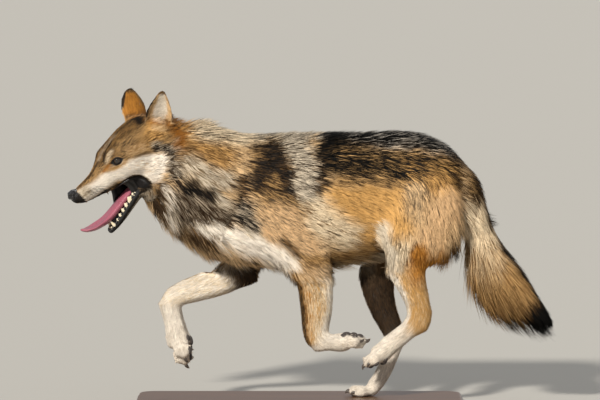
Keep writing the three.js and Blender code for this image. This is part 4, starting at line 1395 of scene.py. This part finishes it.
LOWER_EDGE = unit((224, -153))
lower_places = [(-24.9, -93.3) + LOWER_EDGE * s for s in np.arange(4, 140, 3.0)]
upper_places = [(-14, -53.5), (-6, -54.5), (2, -56), (10, -58.5), (18, -61.5), (24, -64.5)]
upper_places += [(a, -64.3) for a in np.arange(30, 130, 3.0)]


# The folds' rear and front edges from top to bottom, seen from the side in the head's frame.
FOLD_REAR = [(-16, -50), (-40, -56), (-48, -80), (-42, -97), (-26, -98)]
FOLD_FRONTS = {  # by the sign of y in the head's frame, 1 on the wolf's left
    1: [(6, -55), (-3, -63), (-13, -80), (-13, -95), (-4, -110)],
    -1: [(14, -56), (14, -68), (16, -82), (20, -96), (24, -112)],
}
FOLD_ROWS, FOLD_COLUMNS = 22, 12
FOLD_THICKNESS = 1.8
FOLD_INSET = 2.5


def cheek_fold(sign):
    """The thin dark skin at the corner of the mouth, from lip to lip, hollow between them."""
    down = np.linspace(0, 1, FOLD_ROWS)
    rear = curve(FOLD_REAR, FOLD_ROWS)
    front = curve(FOLD_FRONTS[sign], FOLD_ROWS)
    top, bottom = sign * cheek_at(2, -54, sign), sign * cheek_at(-8, -108, sign)
    rows = []
    for depth in (0, FOLD_THICKNESS):
        for v, back, ahead in zip(down, rear, front):
            side = mix(top, bottom, v) - FOLD_INSET - depth
            for u in np.linspace(0, 1, FOLD_COLUMNS):
                a, c = mix(back, ahead, u)
                b = side - 5 * np.sin(np.pi * v) * (0.6 + 0.4 * u) + 0.5 * np.sin(17 * u + 3 * v)
                rows.append((a, sign * b, c))
    grid = np.array(rows).reshape(2, FOLD_ROWS, FOLD_COLUMNS, 3)
    rings = np.concatenate([grid[0], grid[1][:, ::-1]], axis=1)
    return lofted(HEAD.out(rings.reshape(-1, 3)).reshape(rings.shape))


TONGUE_ROWS = [  # x, z, half thickness, half width, how far the sides droop, in the jaw's frame
    (52, 0, 7, 11, 0), (80, 4, 9, 16, 1), (105, 8, 10, 18.5, 2), (130, 12, 10, 19.5, 3),
    (155, 16.5, 9.5, 20.5, 4), (175, 22, 8, 22, 6), (190, 29, 6.5, 24, 7), (204, 38, 5.4, 24, 6),
    (214, 48, 4.8, 21, 4), (220, 56, 4.4, 16, 2), (223, 63, 3.6, 10, 1), (224, 67, 2.2, 4, 0),
]


def tongue():
    rows = curve(TONGUE_ROWS, 70)
    middle = np.stack([rows[:, 0], np.zeros(len(rows)), rows[:, 1]], axis=1)
    ahead = unit(np.gradient(middle, axis=0))
    upwards = np.cross((0, 1, 0), ahead)
    turn = full_turn(44)
    rings = []
    for i, (_, _, thick, half, droop) in enumerate(rows):
        across = half * np.sign(np.cos(turn)) * np.abs(np.cos(turn)) ** 0.85
        high = thick * np.sin(turn) - droop * (across / half) ** 2
        top = np.clip(np.sin(turn) * 2, 0, 1)
        high -= 2.4 * top * np.exp(-(across / 3.0) ** 2) * rise(half, 6, 16)
        high += 0.5 * top * np.sin(across * 0.9 + i * 0.4) * rise(np.abs(across), 0.6 * half, half)
        rings.append(middle[i] + upwards[i] * high[:, None] + np.multiply((0, 1, 0), across[:, None]))
    points, faces = lofted(rings)
    return JAW.out(points), faces


# From front to back on each side, as (x, y, radius, height); the first is the canine.
LOWER_TEETH = [
    (171, 12, 4, 15), (155, 14, 3, 6), (142, 15, 3.6, 8), (128, 16.5, 4, 9), (113, 18.5, 4.4, 10),
    (96, 21, 6, 12), (82, 23, 4.5, 8),
]
UPPER_TEETH = [(104, 12.5, 4.2, 11), (84, 15, 3.2, 9), (66, 17, 3.8, 10), (44, 19.5, 5.5, 11)]
# The frame, the teeth at the sides, the roots' height, which way they point, and where the front ones are.
TOOTH_SETS = {
    "lower_teeth": (JAW, LOWER_TEETH, -3, 1, 184),
    "upper_teeth": (HEAD, UPPER_TEETH, -52, -1, 124),
}
FRONT_TEETH = [2.0, 5.5, 9.0]  # from the middle
FRONT_HEIGHT = 7
CUSP_PLACES = np.array([0, 0.12, 0.3, 0.5, 0.7, 0.86, 0.96])  # up a cusp, for its rings
CUSP_WIDTHS = np.array([0.92, 1.04, 0.98, 0.78, 0.52, 0.28, 0.1])


def cusp(x, y, root, long, wide, height, lean):
    """A tooth or one point of one: oval at the root, and rounded to a point."""
    turn = full_turn(14)
    oval = np.stack([long * np.cos(turn), wide * np.sin(turn), 0 * turn], axis=1)
    rings = []
    for t, grow in zip(CUSP_PLACES, CUSP_WIDTHS):
        rings.append((x + lean * t ** 2, y, root + height * t) + oval * grow)
    return lofted(rings)


def teeth(place, cheek, root, up, front):
    """The teeth of one jaw."""
    made = []
    for side in (-1, 1):
        for i, (x, y, radius, height) in enumerate(cheek):
            tall, grown = up * (height + 0.8), radius * 1.12
            if i == 0:
                made.append(cusp(x, side * y, root, grown, grown * 0.85, tall * 1.1, -3.5))
                continue
            # the middle point of a cheek tooth, and the lower ones behind it and in front
            points = ((0.3, 0, 1.35, 0.68, 1, -1), (-1.05 * grown, 0.3, 0.6, 0.5, 0.62, 0),
                      (1.1 * grown, -0.3, 0.45, 0.45, 0.5, 0))
            for ahead, out, long, wide, share, lean in points:
                at = (x + ahead, side * (y + out), root)
                made.append(cusp(*at, grown * long, grown * wide, tall * share, lean))
        for y in FRONT_TEETH:
            made.append(cusp(front - 3 - y / 3, side * y, root, 2.0, 1.7, up * FRONT_HEIGHT, -0.6))
    points, faces = merged(made)
    return place.out(points), faces


# ---- Claws, pads and whiskers ----

CLAW_PATH = [(0, 0), (6, 0.4), (10, -2.0), (12.5, -4.8)]  # forward for a paw of scale 1, and up
CLAW_RADII = ([0, 0.3, 0.7, 1], [3.1, 2.9, 1.8, 0.4])


def claws(leg):
    place, scale, made = paw_frame(leg), FEET[leg][4], []
    for side in (-1, 1):
        for forward, sideways, up, half in TOES:
            start = ((forward + half * 0.62) * scale, side * sideways * scale, up * scale - 0.5)
            path = curve([np.add(start, (x * scale, 0, z)) for x, z in CLAW_PATH], 16)
            radius = np.interp(np.linspace(0, 1, 16), *CLAW_RADII) * scale ** 0.5
            points, faces = tube(path, radius, 14, (0, 0, 1), 1.25)
            made.append((place.out(points), faces))
    return merged(made)


def pads(leg):
    """The pads under a paw, each let into the surface that it lies under."""
    place, scale, made = paw_frame(leg), FEET[leg][4], []
    spots = [(-5, 0, 10, 8.5), (-11, -7.5, 8, 7), (-11, 7.5, 8, 7)]  # forward, sideways, half sizes
    spots += [(x + half * 0.1, s * y, half * 0.42, 5.4) for s in (-1, 1) for x, y, _, half in TOES]
    for forward, sideways, long, wide in spots:
        start = place.out((forward * scale, sideways * scale, -90))
        hit = outer_shell.ray_cast(Vector(start), Vector(place.turned((0, 0, 1))), 120)
        if hit[0] is None:
            continue
        centre = place.to(hit[0]) + (0, 0, 5.7 if leg.startswith("fore") else 5.0)
        made.append(ellipsoid(place, centre, (long * scale, wide * scale, 6.2)))
    points, faces = merged(made)
    if leg == "hind_right":
        points[:, 2] = np.maximum(points[:, 2], SOLE)
    return points, faces


WHISKER_ROWS = (-35, -40, -45)  # their heights in the head's frame
WHISKERS_A_ROW = 4


def whiskers():
    made = []
    for sign in (1, -1):
        for row, c in enumerate(WHISKER_ROWS):
            for k in range(WHISKERS_A_ROW):
                a = 96 - 9 * k - 3 * row
                b = cheek_at(a, c, sign)
                if np.isnan(b):
                    continue
                long = rng.uniform(26, 44) * (0.75 + 0.12 * k)
                way = unit((-0.55 + rng.normal(0, 0.08), sign * 0.72, -0.12 - 0.12 * row))
                root_at = np.array((a, b - sign * 1.2, c))
                bend = np.multiply((-0.10, 0, -0.14), long)
                path = curve([root_at, root_at + way * long * 0.5, root_at + way * long + bend], 12)
                points, faces = tube(path, np.linspace(0.42, 0.08, 12), 5)
                made.append((HEAD.out(points), faces))
    return merged(made)


# ---- The base ----

BOARD = (410, 170, 45)  # half length, half width and corner radius
# How far in from the edge, and the height: a shallow step and a rounded top edge.
BOARD_PROFILE = [
    (4, 0), (0.4, 0), (0, 0.5), (0, 14), (0, 15.6), (0.4, 16), (2.6, 16.2), (3.0, 16.6), (3.0, 18),
    (3.4, 20.4), (4.6, 22.4), (6.6, 23.6), (9, 24), (14, 24), (40, 24),
]


def board():
    half_length, half_width, corner = BOARD
    rings = []
    for inset, z in BOARD_PROFILE:
        outline = []
        for quarter in range(4):
            turn = np.linspace(0, np.pi / 2, 14) + quarter * np.pi / 2
            middle = np.sign([np.cos(turn[6]), np.sin(turn[6])]) * (half_length - corner, half_width - corner)
            arc = np.stack([np.cos(turn), np.sin(turn)], axis=1) * max(corner - inset, 6)
            outline.append(middle + arc)
        ring = np.concatenate(outline)
        rings.append(np.column_stack([ring, np.full(len(ring), z)]))
    return lofted(rings)


# ---- Materials ----

def set_sockets(tree, node, sockets):
    """Each socket set to a value or joined to another node's output, with _ for a space in its name."""
    for name, value in sockets.items():
        socket = node.inputs[name.replace("_", " ")]
        if isinstance(value, bpy.types.NodeSocket):
            tree.links.new(value, socket)
        else:
            socket.default_value = value
    return node


def add_node(tree, kind, **sockets):
    return set_sockets(tree, tree.nodes.new("ShaderNode" + kind), sockets)


def new_material(name, **sockets):
    """A material, its node tree and its shader."""
    material = bpy.data.materials.new(name)
    material.use_nodes = True
    tree = material.node_tree
    return material, tree, set_sockets(tree, tree.nodes["Principled BSDF"], sockets)


def pattern(tree, kind, stretch, **sockets):
    """A noise, cell or wave node over the object's own coordinates."""
    place = add_node(tree, "TexCoord").outputs["Object"]
    place = add_node(tree, "Mapping", Vector=place, Scale=stretch).outputs["Vector"]
    return add_node(tree, "Tex" + kind, Vector=place, **sockets)


def noise_of(tree, scale, stretch=(1, 1, 1), detail=3):
    return pattern(tree, "Noise", stretch, Scale=scale, Detail=detail).outputs["Fac"]


def add_bump(tree, shader, height, strength, distance=0.001):
    bump = add_node(tree, "Bump", Height=height, Strength=strength, Distance=distance)
    tree.links.new(bump.outputs["Normal"], shader.inputs["Normal"])


def blended(tree, kind, factor, first, second):
    """A colour mix of two colours or outputs."""
    node = tree.nodes.new("ShaderNodeMix")
    node.data_type = "RGBA"
    node.blend_type = kind
    colour_inputs = [one for one in node.inputs if one.type == "RGBA"]
    for socket, value in zip([node.inputs[0], *colour_inputs], (factor, first, second)):
        if isinstance(value, bpy.types.NodeSocket):
            tree.links.new(value, socket)
        else:
            socket.default_value = (*linear(value), 1) if socket.type == "RGBA" else value
    return next(one for one in node.outputs if one.type == "RGBA")


def spread_out(tree, value, low, high):
    """A value from 0 to 1 as one from low to high."""
    return add_node(tree, "MapRange", Value=value, To_Min=low, To_Max=high).outputs["Result"]


def painted(name, roughness, scale, bump, **sockets):
    """A material with the colour painted on the points, finely mottled, with bump."""
    material, tree, shader = new_material(name, Roughness=roughness, **sockets)
    paint = tree.nodes.new("ShaderNodeVertexColor")
    paint.layer_name = "coat"
    grain = noise_of(tree, scale)
    colour = blended(tree, "MULTIPLY", 1.0, paint.outputs["Color"], spread_out(tree, grain, 0.84, 1.16))
    tree.links.new(colour, shader.inputs["Base Color"])
    add_bump(tree, shader, grain, bump)
    return material


def textured(name, light, dark, scale, roughness, bump, stretch=(1, 1, 1), cells=False, **sockets):
    """A material mottled between two colours, with bump of the same pattern."""
    material, tree, shader = new_material(name, Roughness=roughness, **sockets)
    if cells:
        grain = pattern(tree, "Voronoi", stretch, Scale=scale).outputs["Distance"]
    else:
        grain = noise_of(tree, scale, stretch)
    tree.links.new(blended(tree, "MIX", grain, dark, light), shader.inputs["Base Color"])
    add_bump(tree, shader, grain, bump)
    return material


def wood(name, light, dark):
    """Planed wood with its grain along x, under a satin varnish."""
    material, tree, shader = new_material(name, Roughness=0.42, Coat_Weight=0.25, Coat_Roughness=0.2)
    rings = noise_of(tree, 9, (0.35, 3.2, 3.2), 2)
    pores = noise_of(tree, 260, (0.06, 1, 1), 2)
    wave = pattern(tree, "Wave", (0.22, 1, 1), Scale=16, Distortion=6, Detail=3, Detail_Scale=0.8)
    wave.bands_direction = "Y"
    colour = blended(tree, "MIX", wave.outputs["Fac"], dark, light)
    colour = blended(tree, "MULTIPLY", 0.6, colour, spread_out(tree, rings, 0.6, 1.3))
    colour = blended(tree, "MULTIPLY", 0.7, colour, spread_out(tree, pores, 0.72, 1.2))
    tree.links.new(colour, shader.inputs["Base Color"])
    add_bump(tree, shader, pores, 0.25, 0.0004)
    return material


# Roughness, the mottling's scale and the bump's strength.
coat_material = painted("coat", 0.72, 260, 0.15, Specular_IOR_Level=0.12)
skin_material = painted("skin", 0.6, 420, 0.5, Specular_IOR_Level=0.35)
eye_material = painted("eye", 0.04, 900, 0.0, Coat_Weight=1.0, Coat_Roughness=0.02)
# Light and dark colour, the mottling's scale, roughness, the bump's strength and, for some, the stretch.
lid_material = textured("lid", (24, 20, 19), (8, 7, 7), 900, 0.6, 0.3, cells=True, Specular_IOR_Level=0.2)
lip_material = textured("lip", (30, 26, 26), (9, 8, 8), 900, 0.3, 0.35, cells=True, Coat_Weight=0.35)
nose_material = textured("nose", (12, 11, 12), (34, 31, 32), 1100, 0.34, 0.9, cells=True, Coat_Weight=0.4)
tongue_material = textured("tongue", (182, 102, 118), (132, 66, 84), 420, 0.4, 0.9, Coat_Weight=0.3)
tooth_material = textured(
    "tooth", (244, 236, 214), (214, 192, 150), 160, 0.3, 0.1, (1, 1, 0.4), Coat_Weight=0.3,
)
claw_material = textured("claw", (92, 80, 70), (30, 25, 23), 500, 0.38, 0.3, (0.4, 1, 1))
pad_material = textured("pad", (52, 46, 44), (88, 79, 74), 800, 0.75, 1.0, cells=True)
whisker_material = textured("whisker", (40, 32, 26), (12, 10, 9), 300, 0.5, 0.1)
stand_material = wood("stand", (112, 79, 51), (82, 54, 35))


# ---- The pieces ----

def finished(piece, material, slot, *stands_for):
    """A piece with its material, on its body, with the solids that it replaces hidden; its slot is not used.
    """
    piece.data.materials.append(material)
    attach(piece, "root")
    if stands_for:
        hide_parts(*stands_for)
    return piece


def made_piece(name, mesh, *finish):
    return finished(new_object(name, *mesh), *finish)


def skin_colours():
    """The markings' colours on the skin, with their painted shade, darker under long hair."""
    marks = markings_and_shade(outer.points, outer_normals, shares_of)
    hairy = rise(coat[:, 0], 0.5, 3) * (1 - bare)
    return mix(marks.light, marks.dark, marks.share) * mix(1.0, 0.72, hairy)[:, None]


skin_piece = made_piece("skin", (skin.points, skin.faces), skin_material, "coat", *FLESH)
paint_points(skin_piece, skin_colours())
for piece in pieces:
    finished(piece, coat_material, "coat")
for side, side_name in ((LEFT, "left"), (RIGHT, "right")):
    *ball_mesh, paint = eyeball(EYES[side])
    ball = made_piece(f"eye_{side_name}_ball", ball_mesh, eye_material, "eye", f"eye_{side_name}")
    paint_points(ball, paint)
    made_piece(f"lids_{side_name}", lids(EYES[side]), lid_material, "nose")
    made_piece(f"cheek_fold_{side_name}", cheek_fold(-side), lip_material, "nose")
made_piece("nose_pad", nose_pad(), nose_material, "nose", "nose")
made_piece("lower_lip", lip(lower_places, (3.2, 2.3), 1.2), lip_material, "nose")
made_piece("upper_lip", lip(upper_places, (2.2, 1.5), 1.0), lip_material, "nose")
made_piece("tongue_shaped", tongue(), tongue_material, "tongue", "tongue")
for name, tooth_set in TOOTH_SETS.items():
    made_piece(name, teeth(*tooth_set), tooth_material, "tooth")
for leg in LEGS:
    made_piece(f"claws_{leg}", claws(leg), claw_material, "claw")
    made_piece(f"pads_{leg}", pads(leg), pad_material, "nose")
made_piece("whiskers", whiskers(), whisker_material, "claw")
made_piece("base_board", board(), stand_material, "stand", "stand_base")


# ---- The floor, the light and the camera ----

CAMERA_DISTANCE = 12000
CAMERA_RISE = np.radians(4)
VIEW_WIDTH = 1500  # what the picture is wide, at the wolf's middle
VIEW_MIDDLE = 521.5  # the height at the middle of the picture
SENSOR = 36.0
FAR_CLIP = 200  # in metres
# Name, where it shines from, strength, degrees across, colour.
LAMPS = [
    ("key", (-0.45, -1.0, 0.62), 4.2, 5, (1.0, 0.955, 0.88)),
    ("rim", (0.5, 1.0, 0.8), 1.0, 12, (1.0, 0.97, 0.93)),
]
LAMP_DISTANCE = 3000
SKY = {"Color": (0.93, 0.96, 1.0, 1), "Strength": 0.36}
FLOOR_HALF, FLOOR_LEVEL = 60000, -0.5
FLOOR_COLOUR = (178, 175, 168)


def placed(name, data, place, target):
    """A camera or lamp at a place, aimed at another."""
    made = bpy.data.objects.new(name, data)
    bpy.context.scene.collection.objects.link(made)
    made.location = Vector(place) * MM
    made.rotation_euler = (Vector(target) - Vector(place)).to_track_quat("-Z", "Y").to_euler()
    return made


def add_camera():
    lens = bpy.data.cameras.new("camera")
    lens.sensor_width = SENSOR
    lens.lens = SENSOR * CAMERA_DISTANCE / VIEW_WIDTH
    lens.clip_end = FAR_CLIP
    back = -CAMERA_DISTANCE * np.cos(CAMERA_RISE)
    up = VIEW_MIDDLE + CAMERA_DISTANCE * np.sin(CAMERA_RISE)
    bpy.context.scene.camera = placed("camera", lens, (0, back, up), (0, 0, VIEW_MIDDLE))


def add_light():
    for name, source, strength, angle, colour in LAMPS:
        light = bpy.data.lights.new(name, "SUN")
        light.energy = strength
        light.angle = np.radians(angle)
        light.color = colour
        placed(name, light, np.multiply(source, LAMP_DISTANCE), (0, 0, 0))
    world = bpy.data.worlds.new("world")
    world.use_nodes = True
    set_sockets(world.node_tree, world.node_tree.nodes["Background"], SKY)
    bpy.context.scene.world = world
    bpy.context.scene.view_settings.view_transform = "Standard"


def add_floor():
    corners = np.multiply([(-1, -1, 0), (1, -1, 0), (1, 1, 0), (-1, 1, 0)], FLOOR_HALF) + (0, 0, FLOOR_LEVEL)
    floor = new_object("floor", corners, [(0, 1, 2, 3)])
    material, _, _ = new_material("floor", Base_Color=(*linear(FLOOR_COLOUR), 1), Roughness=0.9)
    floor.data.materials.append(material)


add_camera()
add_light()
add_floor()
